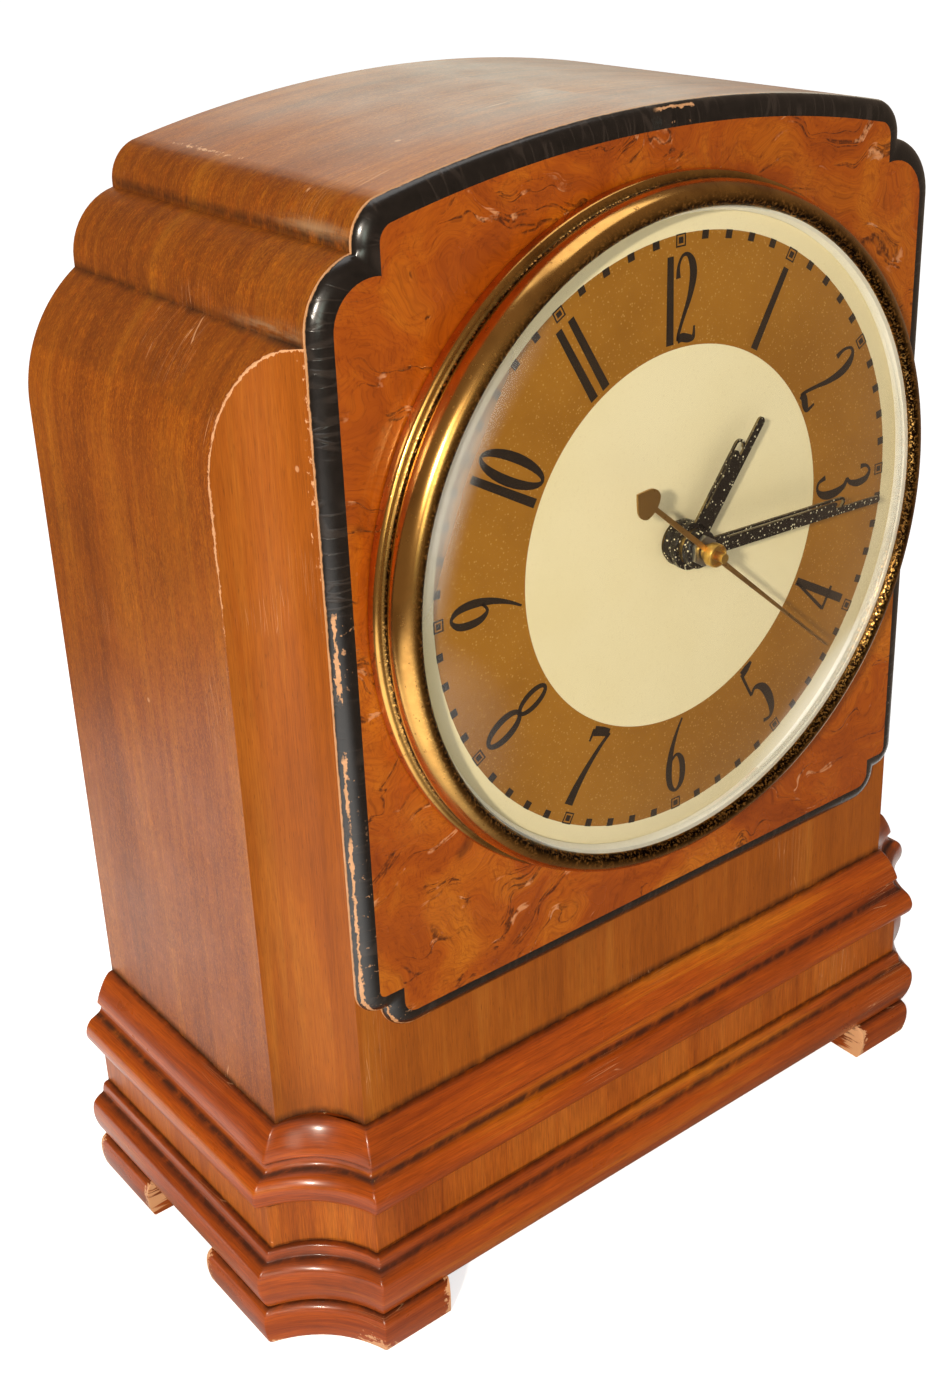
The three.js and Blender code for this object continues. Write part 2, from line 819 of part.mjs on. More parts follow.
function secondsArbor() {
  return join(
    arbor(secondsShaft, hubFront + 1, pivotEnd),
    trainWheel(train.secondToSeconds, secondsTooth, secondsWheelY),
    trainPinion(train.secondsToThird, secondsPinionTooth, thirdWheelY),
  );
}

function centreWheel() {
  return trainWheel(train.thirdToCentre, centreWheelTooth, centreWheelY, cannonRadius + slip);
}

const setGearY = minuteWheelY - 0.4;
const setGearDepth = 2.6;

function cannonPinion() {
  const { pinion, module } = train.cannonToMinute;
  const pipeEnd = centreWheelY + wheelThickness + 0.8;
  return join(
    tube(cannonBore, cannonRadius, minutePlane - 0.6, pipeEnd, 16),
    cut(
      gear(pinion, module, cannonTooth, setGearY, setGearY + setGearDepth),
      bar(cannonRadius - slip, setGearY - 1, setGearY + setGearDepth + 1),
    ),
  );
}

function minuteWheel() {
  const { wheel, module } = train.cannonToMinute;
  const bore = studRadius + slip;
  const { pinion, module: hourModule } = train.minuteToHour;
  return join(
    gear(wheel, module, minuteWheelTooth, minuteWheelY, minuteWheelY + minuteWheelThickness, bore),
    gear(pinion, hourModule, minutePinionTooth, minutePinionTop, minuteWheelY + 0.2, bore),
  );
}

function hourWheel() {
  const { wheel, module } = train.minuteToHour;
  return join(
    gear(wheel, module, hourWheelTooth, hourWheelY, hourWheelY + 1.6, (hourBore + hourPipe) / 2),
    tube(hourBore, hourPipe, hourPlane - 0.6, hourWheelY + 1, 16),
  );
}

function rotor() {
  const poleModule = 2 * rotorRadius / (rotorPoles + 2 * addendum);
  const y = motorFace + rotorGap + (statorThickness - rotorThickness) / 2;
  return join(
    arbor(shaftRadius, pivotStart, motorFace + 2),
    arbor(setShaft, motorFace + 1, knobY + knobSeat),
    trainPinion(train.rotorToFirst, rotorPinionTooth, firstWheelY),
    gear(rotorPoles, poleModule, 0, y, y + rotorThickness),
  );
}

// Plates, pillars and motor

const pillarAngles = [0, 1, 2, 3].map((k) => THREE.MathUtils.degToRad(70) + k * QUARTER);
const arbors = [firstArbor, secondArbor, thirdArbor, rotorArbor];

function plateShape(centreHole) {
  const shape = new THREE.Shape(arcPoints(0, 0, plateRadius, 0, TURN, 36).slice(1));
  shape.holes.push(roundHole(0, 0, centreHole));
  for (const [x, z] of arbors) shape.holes.push(roundHole(x, z, shaftRadius + slip));
  shape.holes.push(roundHole(...setArbor, setShaft + slip));
  return shape;
}

function frontPlate() {
  const plate = sheet(plateShape(cannonRadius + slip), frontPlateY, behindPlate, 6);
  const stud = moved(arbor(studRadius, studEnd, frontPlateY + 0.5), minuteArbor[0], 0, minuteArbor[1]);
  return join(plate, stud);
}

function backPlate() {
  return sheet(plateShape(secondsShaft + slip), backPlateY, backPlateY + plateThickness, 6);
}

function pillar(angle) {
  const [x, z] = step(centre, pillarCircle, angle);
  return moved(revolve([
    [0, behindPlate],
    [pillarRadius, behindPlate],
    [pillarRadius, backPlateY],
    [0, backPlateY],
  ], 8), x, 0, z);
}

const statorY = motorFace + rotorGap;
const bridgeY = motorFace + motorStandoff;
const statorBore = rotorRadius + airGap;
const statorHalf = postReach + 4;
const windowTop = -statorBore - 6;
const windowBottom = windowTop - coilBuild * 2 + 2;
const limbBottom = windowBottom - limbWidth;

function stator() {
  const shape = new THREE.Shape();
  shape.moveTo(-statorHalf, statorHalf);
  shape.lineTo(-statorHalf, limbBottom);
  shape.lineTo(statorHalf, limbBottom);
  shape.lineTo(statorHalf, statorHalf);
  shape.closePath();
  shape.holes.push(roundHole(0, 0, statorBore, 32));
  const windowHalf = coilLength / 2 + slip;
  shape.holes.push(new THREE.Path([
    new THREE.Vector2(-windowHalf, windowTop),
    new THREE.Vector2(windowHalf, windowTop),
    new THREE.Vector2(windowHalf, windowBottom),
    new THREE.Vector2(-windowHalf, windowBottom),
  ]));
  for (const x of [-postReach, postReach]) shape.holes.push(roundHole(x, postReach, postRadius + slip));
  return sheet(shape, statorY, statorY + statorThickness, 10);
}

function fieldCoil() {
  const middle = statorY + statorThickness / 2;
  const halfBuild = statorThickness / 2 + coilBuild - 1;
  const top = windowBottom + coilBuild - 1;
  const bottom = limbBottom - coilBuild + 1;
  const body = box(-coilLength / 2, coilLength / 2, middle - halfBuild, middle + halfBuild, bottom, top);
  const bore = box(
    -coilLength, coilLength,
    statorY - slip, statorY + statorThickness + slip,
    limbBottom - slip, windowBottom + slip,
  );
  return cut(body, bore);
}

function motorBridge() {
  const shape = new THREE.Shape();
  shape.moveTo(-5, -5);
  shape.lineTo(5, -5);
  shape.lineTo(postReach + 4, postReach - 2);
  shape.lineTo(postReach + 4, postReach + 4);
  shape.lineTo(-postReach - 4, postReach + 4);
  shape.lineTo(-postReach - 4, postReach - 2);
  shape.closePath();
  shape.holes.push(roundHole(0, 0, setShaft + slip));
  return sheet(shape, bridgeY, bridgeY + plateThickness, 6);
}

function motorPost() {
  return bar(postRadius, motorFace, bridgeY, 12);
}

// Hands, drawn pointing up from the centre, then turned to their angles

function handShape(length, loopEnd, loopHalf, pointHalf, root) {
  const shape = new THREE.Shape();
  shape.absarc(0, 0, root, TURN * 0.31, TURN * 1.19, false);
  shape.bezierCurveTo(loopHalf, root + 3, loopHalf, root + 4, loopHalf, loopEnd - loopHalf);
  shape.absarc(0, loopEnd - loopHalf, loopHalf, 0, QUARTER * 0.6, false);
  shape.lineTo(pointHalf, loopEnd + 1);
  shape.lineTo(0.25, length);
  shape.lineTo(-0.25, length);
  shape.lineTo(-pointHalf, loopEnd + 1);
  shape.absarc(0, loopEnd - loopHalf, loopHalf, QUARTER * 1.4, QUARTER * 2, false);
  const slot = new THREE.Path();
  const inner = loopHalf - 0.8;
  slot.moveTo(-inner, root + 4);
  slot.absarc(0, loopEnd - loopHalf, inner, QUARTER * 2, 0, true);
  slot.lineTo(inner, root + 4);
  slot.closePath();
  shape.holes.push(slot);
  return shape;
}

function turned(geometry, degrees) {
  return geometry.rotateY(THREE.MathUtils.degToRad(degrees));
}

// A pierced hand with its collet, bored to sit on a pipe.
function piercedHand(blade, pipe, plane, colletDepth, degrees) {
  const bore = pipe + pressGap;
  const shape = handShape(blade.length, blade.loopEnd, blade.loopHalf, blade.pointHalf, bore + bossWall);
  const blank = join(
    sheet(shape, plane, plane + handThickness, 4),
    bar(bore + bossWall, plane, plane + colletDepth),
  );
  return cut(turned(blank, degrees), bar(bore, plane - 1, plane + colletDepth + 1));
}

function hourHand() {
  const blade = { length: hourLength, loopEnd: 22.5, loopHalf: 2.1, pointHalf: 1.1 };
  return piercedHand(blade, hourPipe, hourPlane, 1.6, hourAngle);
}

function minuteHand() {
  const blade = { length: minuteLength, loopEnd: 40, loopHalf: 1.9, pointHalf: 1 };
  return piercedHand(blade, cannonRadius, minutePlane, 1.3, minuteAngle);
}

function heartShape(z, size) {
  const shape = new THREE.Shape();
  shape.moveTo(0, z - size);
  shape.bezierCurveTo(size * 0.5, z - size * 0.5, size * 1.1, z, size * 0.75, z + size * 0.5);
  shape.bezierCurveTo(size * 0.5, z + size * 0.85, size * 0.2, z + size * 0.7, 0, z + size * 0.4);
  shape.bezierCurveTo(-size * 0.2, z + size * 0.7, -size * 0.5, z + size * 0.85, -size * 0.75, z + size * 0.5);
  shape.bezierCurveTo(-size * 1.1, z, -size * 0.5, z - size * 0.5, 0, z - size);
  return shape;
}

function secondHand() {
  const needle = new THREE.Shape([
    new THREE.Vector2(-0.55, -secondTail),
    new THREE.Vector2(0.55, -secondTail),
    new THREE.Vector2(0.6, 0),
    new THREE.Vector2(0.2, secondLength),
    new THREE.Vector2(-0.2, secondLength),
    new THREE.Vector2(-0.6, 0),
  ]);
  const back = secondPlane + handThickness;
  const blank = join(
    sheet(needle, secondPlane, back),
    sheet(heartShape(-secondTail, 3.2), secondPlane, back, 6),
    bar(hubRadius, hubFront, secondPlane + 1.4, 20),
  );
  const bore = bar(secondsShaft + pressGap, hubFront + 0.6, secondPlane + 3, 12);
  return turned(cut(blank, bore), secondAngle);
}

// Back of the case

const knurls = 12;

function knob(radius, shaft) {
  const shape = new THREE.Shape();
  for (let k = 0; k < knurls; k++) {
    const a = TURN * k / knurls;
    const out = [radius * Math.cos(a), radius * Math.sin(a)];
    const next = a + TURN / knurls / 2;
    if (k === 0) shape.moveTo(...out);
    else shape.lineTo(...out);
    shape.lineTo(radius * 0.9 * Math.cos(next), radius * 0.9 * Math.sin(next));
  }
  shape.closePath();
  const grip = sheet(shape, knobY + 2, knobY + knobLength);
  const collar = bar(radius * 0.6, knobY, knobY + 2.5, 16);
  const bore = bar(shaft + pressGap, knobY - 1, knobY + knobSeat + pressGap, 12);
  return cut(join(grip, collar), bore);
}

function setShaftPiece() {
  const { pinion, module } = train.cannonToMinute;
  return join(
    arbor(setShaft, setGearY, knobY + knobSeat),
    gear(pinion, module, setPinionTooth, setGearY, setGearY + setGearDepth),
  );
}

const coverHalf = caseHalfWidth - coverInset;
const coverScrewX = caseHalfWidth - hoodWall / 2;
const coverScrews = [
  [-coverScrewX, baseTop + 16],
  [coverScrewX, baseTop + 16],
  [-coverScrewX, shoulderZ],
  [coverScrewX, shoulderZ],
];
const coverScrewRadius = 1.4;
const coverScrewDepth = 9;
const shaftHole = setShaft + 1;
const cordHole = [-coverHalf + 28, baseTop + 16];
const ventSlots = 5;
const ventPitch = 9;
const ventLength = 8;
const ventWidth = 3.2;
const lowVentLift = 30;
const highVentDrop = 45;
const ventRows = [baseTop + lowVentLift, crown - highVentDrop];

function backCover() {
  const arch = archRadius - coverInset;
  const shoulder = shoulderRadius - coverInset;
  const half = [
    ...arcPoints(0, archZ, arch, QUARTER, Math.acos(upperRoundX / arch), 6).slice(1),
    ...arcPoints(shoulderX, shoulderZ, shoulder, QUARTER * 0.72, 0, 6),
    new THREE.Vector2(coverHalf, baseTop + coverInset),
  ];
  const shape = new THREE.Shape(mirrored(half).reverse());
  shape.holes.push(roundHole(rotorArbor[0], dialZ + rotorArbor[1], shaftHole));
  shape.holes.push(roundHole(setArbor[0], dialZ + setArbor[1], shaftHole));
  shape.holes.push(roundHole(...cordHole, cordBushRadius + slip, 20));
  for (const [x, z] of coverScrews) shape.holes.push(roundHole(x, z, coverScrewRadius + slip, 8));
  for (let k = 0; k < ventSlots; k++) {
    const x = (k - (ventSlots - 1) / 2) * ventPitch;
    for (const z of ventRows) {
      const slot = new THREE.Path();
      slot.absarc(x, z + ventLength, ventWidth / 2, 0, Math.PI, false);
      slot.absarc(x, z, ventWidth / 2, Math.PI, TURN, false);
      slot.closePath();
      shape.holes.push(slot);
    }
  }
  return sheet(shape, coverY, coverY + coverThickness, 2);
}

function coverScrew([x, z]) {
  return moved(screw(2.8, coverScrewRadius, coverScrewDepth, 1.4, 0.7), x, coverY + coverThickness, z);
}

function cordBush() {
  const y1 = coverY + coverThickness;
  return moved(revolve([
    [cordBushRadius - 1.6, coverY - 1],
    [cordBushRadius, coverY - 1],
    [cordBushRadius, y1],
    [cordBushRadius + 1.6, y1],
    [cordBushRadius + 1.2, y1 + 1.6],
    [cordBushRadius - 1.6, y1 + 1.6],
  ], 16), cordHole[0], 0, cordHole[1]);
}

// Blocks glued in the bottom corners join the hood to the base.
function cornerBlock(side) {
  const outer = side * (caseHalfWidth - hoodWall);
  const inner = outer - side * blockSize;
  const [x0, x1] = [Math.min(outer, inner), Math.max(outer, inner)];
  return box(x0, x1, frontWall + blockSize / 2, coverY - blockSize, baseTop, baseTop + blockSize);
}

// Assembly

const clock = new THREE.Group();
const movement = new THREE.Group();
movement.position.set(0, 0, dialZ);
clock.add(movement);

function add(group, name, geometry, look, position = [0, 0]) {
  const shaded = geometry.toNonIndexed();
  shaded.computeVertexNormals();
  const mesh = new THREE.Mesh(shaded, new THREE.MeshStandardMaterial(look));
  mesh.name = name;
  mesh.position.set(position[0], 0, position[1]);
  group.add(mesh);
}

add(clock, 'base_core', box(
  coreInset - caseHalfWidth, caseHalfWidth - coreInset, coreSetback, caseDepth, footHeight, baseTop,
), finishes.softwood);
add(clock, 'base_bottom_moulding', moulding(bottomMouldingProfile()), finishes.mahogany);
add(clock, 'base_frieze', frieze(), finishes.frieze);
add(clock, 'base_top_moulding', moulding(topMouldingProfile()), finishes.mahogany);
add(clock, 'foot_front_left', frontFoot(1), finishes.mahogany);
add(clock, 'foot_front_right', frontFoot(-1), finishes.mahogany);
add(clock, 'foot_back_left', backFoot(1), finishes.mahogany);
add(clock, 'foot_back_right', backFoot(-1), finishes.mahogany);
add(clock, 'case_hood', caseHood(), finishes.veneer);
add(clock, 'corner_block_left', cornerBlock(-1), finishes.softwood);
add(clock, 'corner_block_right', cornerBlock(1), finishes.softwood);
add(clock, 'front_panel', frontPanel(), finishes.ebony);
add(clock, 'burl_veneer', burlVeneer(), finishes.burl);
add(clock, 'back_cover', backCover(), finishes.hardboard);
coverScrews.forEach((place, k) => add(clock, `cover_screw_${k + 1}`, coverScrew(place), finishes.steel));
add(clock, 'cord_bush', cordBush(), finishes.knob);
clampAngles.forEach((angle, k) => {
  add(clock, `case_clamp_${k + 1}`, caseClamp(angle), finishes.steel);
  add(clock, `clamp_screw_${k + 1}`, clampScrew(angle), finishes.steel);
});

add(movement, 'bezel', bezel(), finishes.brass);
add(movement, 'crystal', crystal(), finishes.glass);
add(movement, 'reflector_ring', reflectorRing(), finishes.ring);
add(movement, 'dial_plate', dialPlate(), finishes.dial);
add(movement, 'dial_pan', dialPan(), finishes.steel);
add(movement, 'hour_hand', hourHand(), finishes.blackMetal);
add(movement, 'minute_hand', minuteHand(), finishes.blackMetal);
add(movement, 'second_hand', secondHand(), finishes.brass);
add(movement, 'hour_wheel', hourWheel(), finishes.wheelBrass);
add(movement, 'cannon_pinion', cannonPinion(), finishes.steel);
add(movement, 'minute_wheel', minuteWheel(), finishes.wheelBrass, minuteArbor);
add(movement, 'set_shaft', setShaftPiece(), finishes.steel, setArbor);
add(movement, 'set_knob', knob(setKnobRadius, setShaft), finishes.knob, setArbor);
add(movement, 'movement_front_plate', frontPlate(), finishes.wheelBrass);
add(movement, 'movement_back_plate', backPlate(), finishes.wheelBrass);
pillarAngles.forEach((angle, k) => {
  add(movement, `plate_pillar_${k + 1}`, pillar(angle), finishes.wheelBrass);
});
add(movement, 'seconds_arbor', secondsArbor(), finishes.wheelBrass);
add(movement, 'centre_wheel', centreWheel(), finishes.wheelBrass);
add(movement, 'third_wheel', thirdWheel(), finishes.wheelBrass, thirdArbor);
add(movement, 'second_wheel', secondWheel(), finishes.wheelBrass, secondArbor);
add(movement, 'first_wheel', firstWheel(), finishes.wheelBrass, firstArbor);
add(movement, 'rotor', rotor(), finishes.steel, rotorArbor);
add(movement, 'starter_knob', knob(starterKnobRadius, setShaft), finishes.knob, rotorArbor);
add(movement, 'stator', stator(), finishes.lamination, rotorArbor);
add(movement, 'field_coil', fieldCoil(), finishes.coil, rotorArbor);
add(movement, 'motor_bridge', motorBridge(), finishes.wheelBrass, rotorArbor);
for (const [side, name] of [[-1, 'left'], [1, 'right']]) {
  const place = [rotorArbor[0] + side * postReach, rotorArbor[1] + postReach];
  add(movement, `motor_post_${name}`, motorPost(), finishes.steel, place);
}

// The origin is under the middle of the whole clock, from the glass to the knobs.
const frontReach = crystalFront - crystalSag;
const backReach = knobY + knobLength;
clock.position.y = -(frontReach + backReach) / 2;

const group = new THREE.Group();
group.add(clock);

export default group;
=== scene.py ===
"""Looks of a wooden mantel clock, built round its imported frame.

Sizes are in millimetres. Wear, grime and dust are shares from 0 to 1.
"""
import json
import logging
import math
from collections.abc import Callable, Sequence
from dataclasses import dataclass
from enum import Enum
from functools import reduce

import bmesh
import bpy
from mathutils import Matrix, Vector
from mathutils.geometry import tessellate_polygon


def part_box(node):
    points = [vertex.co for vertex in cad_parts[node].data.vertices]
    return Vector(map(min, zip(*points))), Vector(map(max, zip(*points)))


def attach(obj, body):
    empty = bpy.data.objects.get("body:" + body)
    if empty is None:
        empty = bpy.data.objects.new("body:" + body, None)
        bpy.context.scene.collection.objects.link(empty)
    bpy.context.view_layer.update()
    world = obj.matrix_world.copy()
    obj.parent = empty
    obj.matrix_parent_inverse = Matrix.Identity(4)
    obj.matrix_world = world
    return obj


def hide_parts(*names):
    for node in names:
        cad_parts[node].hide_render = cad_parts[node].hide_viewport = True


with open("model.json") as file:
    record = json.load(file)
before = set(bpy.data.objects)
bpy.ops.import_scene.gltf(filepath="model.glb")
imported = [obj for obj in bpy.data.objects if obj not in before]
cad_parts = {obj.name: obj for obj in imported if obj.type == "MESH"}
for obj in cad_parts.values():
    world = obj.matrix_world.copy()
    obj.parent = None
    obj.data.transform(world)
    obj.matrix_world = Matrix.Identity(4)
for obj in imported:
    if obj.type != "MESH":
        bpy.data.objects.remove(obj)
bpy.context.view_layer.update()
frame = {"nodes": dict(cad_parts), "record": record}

MM = 0.001
QUARTER = math.pi / 2
TURN = 2 * math.pi
PICTURE = (948, 1379)  # The photograph's width and height in pixels.
SAME_SPOT = 1e-7  # Points nearer than this, in metres, are one.
JOIN_WITHIN = 2e-6
CRISP = 35.0  # An edge that turns by more degrees than this is an arris.
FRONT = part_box("case_hood")[0].y
log = logging.getLogger("clock")

Pair = tuple[float, float]
Triple = tuple[float, float, float]
Move = Callable[[float, float], Pair]
Socket = bpy.types.NodeSocket
Finish = bpy.types.Material


def place(x: float, y: float, z: float) -> Vector:
    """Turn millimetres from the case front, the middle and the floor into the frame's metres."""
    return Vector((x * MM, FRONT + y * MM, z * MM))


def colour(code: str) -> tuple[float, float, float, float]:
    """Turn a hex colour as seen on a screen into the renderer's linear colour.

    Args:
        code: The colour as "#rrggbb".

    Returns:
        Linear red, green, blue and an alpha of 1.
    """
    parts = [int(code[i:i + 2], 16) / 255 for i in (1, 3, 5)]
    linear = [c / 12.92 if c <= 0.04045 else ((c + 0.055) / 1.055) ** 2.4 for c in parts]
    return linear[0], linear[1], linear[2], 1.0


def arc(cx: float, cz: float, radius: float, start: float, end: float, steps: int) -> list[Pair]:
    """Points along an arc, both ends included."""
    angles = [start + (end - start) * i / steps for i in range(steps + 1)]
    return [(cx + radius * math.cos(a), cz + radius * math.sin(a)) for a in angles]


def line(start: Pair, end: Pair, steps: int) -> list[Pair]:
    """Points along a straight line, both ends included."""
    return [
        (start[0] + (end[0] - start[0]) * i / steps, start[1] + (end[1] - start[1]) * i / steps)
        for i in range(steps + 1)
    ]


def lengths(points: Sequence[Pair]) -> list[float]:
    """Measure along a row of points.

    Args:
        points: The row.

    Returns:
        The distance from its first point to each.
    """
    run = [0.0]
    for a, b in zip(points, points[1:]):
        run.append(run[-1] + math.dist(a, b))
    return run


def smoothed(points: Sequence[Sequence[float]], steps: int) -> list[tuple[float, ...]]:
    """Run a smooth curve through a row of points.

    Args:
        points: The points to pass through, of any number of coordinates.
        steps: How many pieces each span is cut into.

    Returns:
        The finer row of points, which keeps the given ones.
    """
    rows = [points[0], *points, points[-1]]
    fine: list[tuple[float, ...]] = []
    for a, b, c, d in zip(rows, rows[1:], rows[2:], rows[3:]):
        for k in range(steps):
            t = k / steps
            fine.append(tuple(
                0.5 * (2 * q + (r - p) * t + (2 * p - 5 * q + 4 * r - s) * t * t
                       + (3 * q - p - 3 * r + s) * t ** 3)
                for p, q, r, s in zip(a, b, c, d)
            ))
    fine.append(tuple(points[-1]))
    return fine


def bowed(a: Pair, b: Pair, bow: float, share: float) -> Pair:
    """Find a point on a curve that bows out to the left of the line between two points.

    Args:
        a: Where the curve starts.
        b: Where it ends.
        bow: How far it stands off in its middle, below 0 for the right.
        share: How far along the point lies, from 0 to 1.

    Returns:
        The point.
    """
    span = math.dist(a, b)
    off = bow * (1 - (2 * share - 1) ** 2)
    return (a[0] + (b[0] - a[0]) * share + (a[1] - b[1]) / span * off,
            a[1] + (b[1] - a[1]) * share + (b[0] - a[0]) / span * off)


def bell(off: float, width: float) -> float:
    """A bell curve, 1 in its middle and about a third at its width."""
    return math.exp(-(off / width) ** 2)


def fading(off: float, reach: float) -> float:
    """Fade from 1 to about a third over a reach."""
    return math.exp(-off / reach)


# Meshes


@dataclass(frozen=True)
class Corner:
    """One corner of a face: its place in millimetres and what the finish needs to know there.

    The grain is the distance along and across the wood's grain. The state is how worn the
    place is, how much grime lies in it, and one more figure for the finish.
    """

    spot: Triple
    grain: Pair = (0.0, 0.0)
    state: Triple = (0.0, 0.0, 0.0)


class Skin:
    """A mesh in the making."""

    def __init__(self) -> None:
        """Start with no faces."""
        self.bm = bmesh.new()
        self.grain = self.bm.loops.layers.float_vector.new("grain")
        self.state = self.bm.loops.layers.float_vector.new("state")

    def face(self, verts: Sequence[bmesh.types.BMVert], corners: Sequence[Corner], finish: int) -> None:
        """Add one face, unless it is too thin to have an area.

        Args:
            verts: Its points.
            corners: What each point carries.
            finish: The index of its material.
        """
        kept = [k for k in range(len(verts)) if (verts[k].co - verts[k - 1].co).length > SAME_SPOT]
        if len(kept) < 3:
            return
        made = self.bm.faces.new([verts[k] for k in kept])
        made.material_index = finish
        made.smooth = True
        for loop, k in zip(made.loops, kept):
            corner = corners[k]
            loop[self.grain] = (corner.grain[0] * MM, corner.grain[1] * MM, 0.0)
            loop[self.state] = corner.state

    def grid(self, rows: Sequence[Sequence[Corner]], finish: int = 0, closed: bool = False) -> None:
        """Add a net of four-sided faces.

        Args:
            rows: Rows of corners, all of one length.
            finish: The index of their material.
            closed: Whether the last corner of a row joins the first.
        """
        verts = [[self.bm.verts.new(place(*c.spot)) for c in row] for row in rows]
        count = len(rows[0])
        for i in range(len(rows) - 1):
            for j in range(count if closed else count - 1):
                around = [(i, j), (i, (j + 1) % count), (i + 1, (j + 1) % count), (i + 1, j)]
                self.face([verts[a][b] for a, b in around], [rows[a][b] for a, b in around], finish)

    def slab(
        self, rings: Sequence[Sequence[Pair]], y0: float, y1: float, move: Move,
        finish: int = 0, side: int | None = None,
    ) -> None:
        """Add a flat plate with straight sides.

        Args:
            rings: Its outline and its holes, drawn flat.
            y0: Depth of its front.
            y1: Depth of its back.
            move: Turns a drawn point into a place across and up.
            finish: The index of its material.
            side: The index of its edges' material, if that is another.
        """
        flat = [[Vector((u, v, 0)) for u, v in ring] for ring in rings]
        points = [p for ring in rings for p in ring]
        triangles = tessellate_polygon(flat)
        for y in (y0, y1):
            row = [Corner((move(u, v)[0], y, move(u, v)[1]), (v, u)) for u, v in points]
            verts = [self.bm.verts.new(place(*c.spot)) for c in row]
            for picks in triangles:
                self.face([verts[k] for k in picks], [row[k] for k in picks], finish)
        for ring in rings:
            walls = [[Corner((move(u, v)[0], y, move(u, v)[1]), (v, y)) for u, v in ring] for y in (y0, y1)]
            self.grid(walls, finish if side is None else side, closed=True)

    def close(self) -> None:
        """Join touching faces, fill the openings that are left and turn every face outward."""
        bmesh.ops.remove_doubles(self.bm, verts=self.bm.verts[:], dist=JOIN_WITHIN)
        edges = [e for e in self.bm.edges if e.is_boundary]
        if edges:
            filled = bmesh.ops.holes_fill(self.bm, edges=edges, sides=0)["faces"]
            bmesh.ops.triangulate(self.bm, faces=filled)
        bmesh.ops.recalc_face_normals(self.bm, faces=self.bm.faces[:])

    def mesh(self, name: str, sharp: float = CRISP) -> bpy.types.Mesh:
        """Finish the mesh.

        Args:
            name: The mesh's name.
            sharp: Edges that turn by more degrees than this are left crisp.

        Returns:
            The new mesh.
        """
        self.close()
        data = bpy.data.meshes.new(name)
        self.bm.to_mesh(data)
        self.bm.free()
        data.set_sharp_from_angle(angle=math.radians(sharp))
        return data


def shown(
    name: str, data: bpy.types.Mesh, body: str, finishes: Sequence[Finish],
    stands_for: Sequence[str] = (), round_off: float = 0.0,
) -> bpy.types.Object:
    """Put a mesh in the scene as a piece of the clock.

    Args:
        name: The piece's name.
        data: Its mesh.
        body: The frame's body that it rides on.
        finishes: Its materials.
        stands_for: The frame's nodes that it replaces.
        round_off: Width in millimetres by which its sharp edges are rounded.

    Returns:
        The new object.
    """
    piece = bpy.data.objects.new(name, data)
    bpy.context.scene.collection.objects.link(piece)
    for finish in finishes:
        data.materials.append(finish)
    if round_off:
        bevel = piece.modifiers.new("arris", "BEVEL")
        bevel.width = round_off * MM
        bevel.segments = 3
        bevel.limit_method = "ANGLE"
        bevel.angle_limit = math.radians(CRISP)
        bevel.harden_normals = True
    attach(piece, body)
    if stands_for:
        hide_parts(*stands_for)
    return piece


def turned(
    profile: Sequence[Sequence[float]], segments: int, zone: Callable[[int], int] = lambda i: 0,
    centre: Pair = (0.0, 0.0),
) -> Skin:
    """Turn a closed profile round an axis that runs from front to back.

    Args:
        profile: Radius and depth of each point, in order round the section.
        segments: How many facets go round.
        zone: Gives the material index of the strip that starts at a point of the profile.
        centre: Where the axis stands, across and up.

    Returns:
        The skin, ready to be finished.
    """
    skin = Skin()
    loop = [*profile, profile[0]]
    run = lengths([(p[0], p[1]) for p in loop])
    for i in range(len(profile)):
        rows = []
        for k in (i, i + 1):
            radius, depth = loop[k][0], loop[k][1]
            grime = loop[k][2] if len(loop[k]) > 2 else 0.0
            rows.append([
                Corner(
                    (centre[0] + radius * math.cos(TURN * s / segments), depth,
                     centre[1] + radius * math.sin(TURN * s / segments)),
                    (radius * TURN * s / segments, run[k]), (0.0, grime, radius),
                )
                for s in range(segments + 1)
            ])
        skin.grid(rows, zone(i))
    return skin


# Finishes


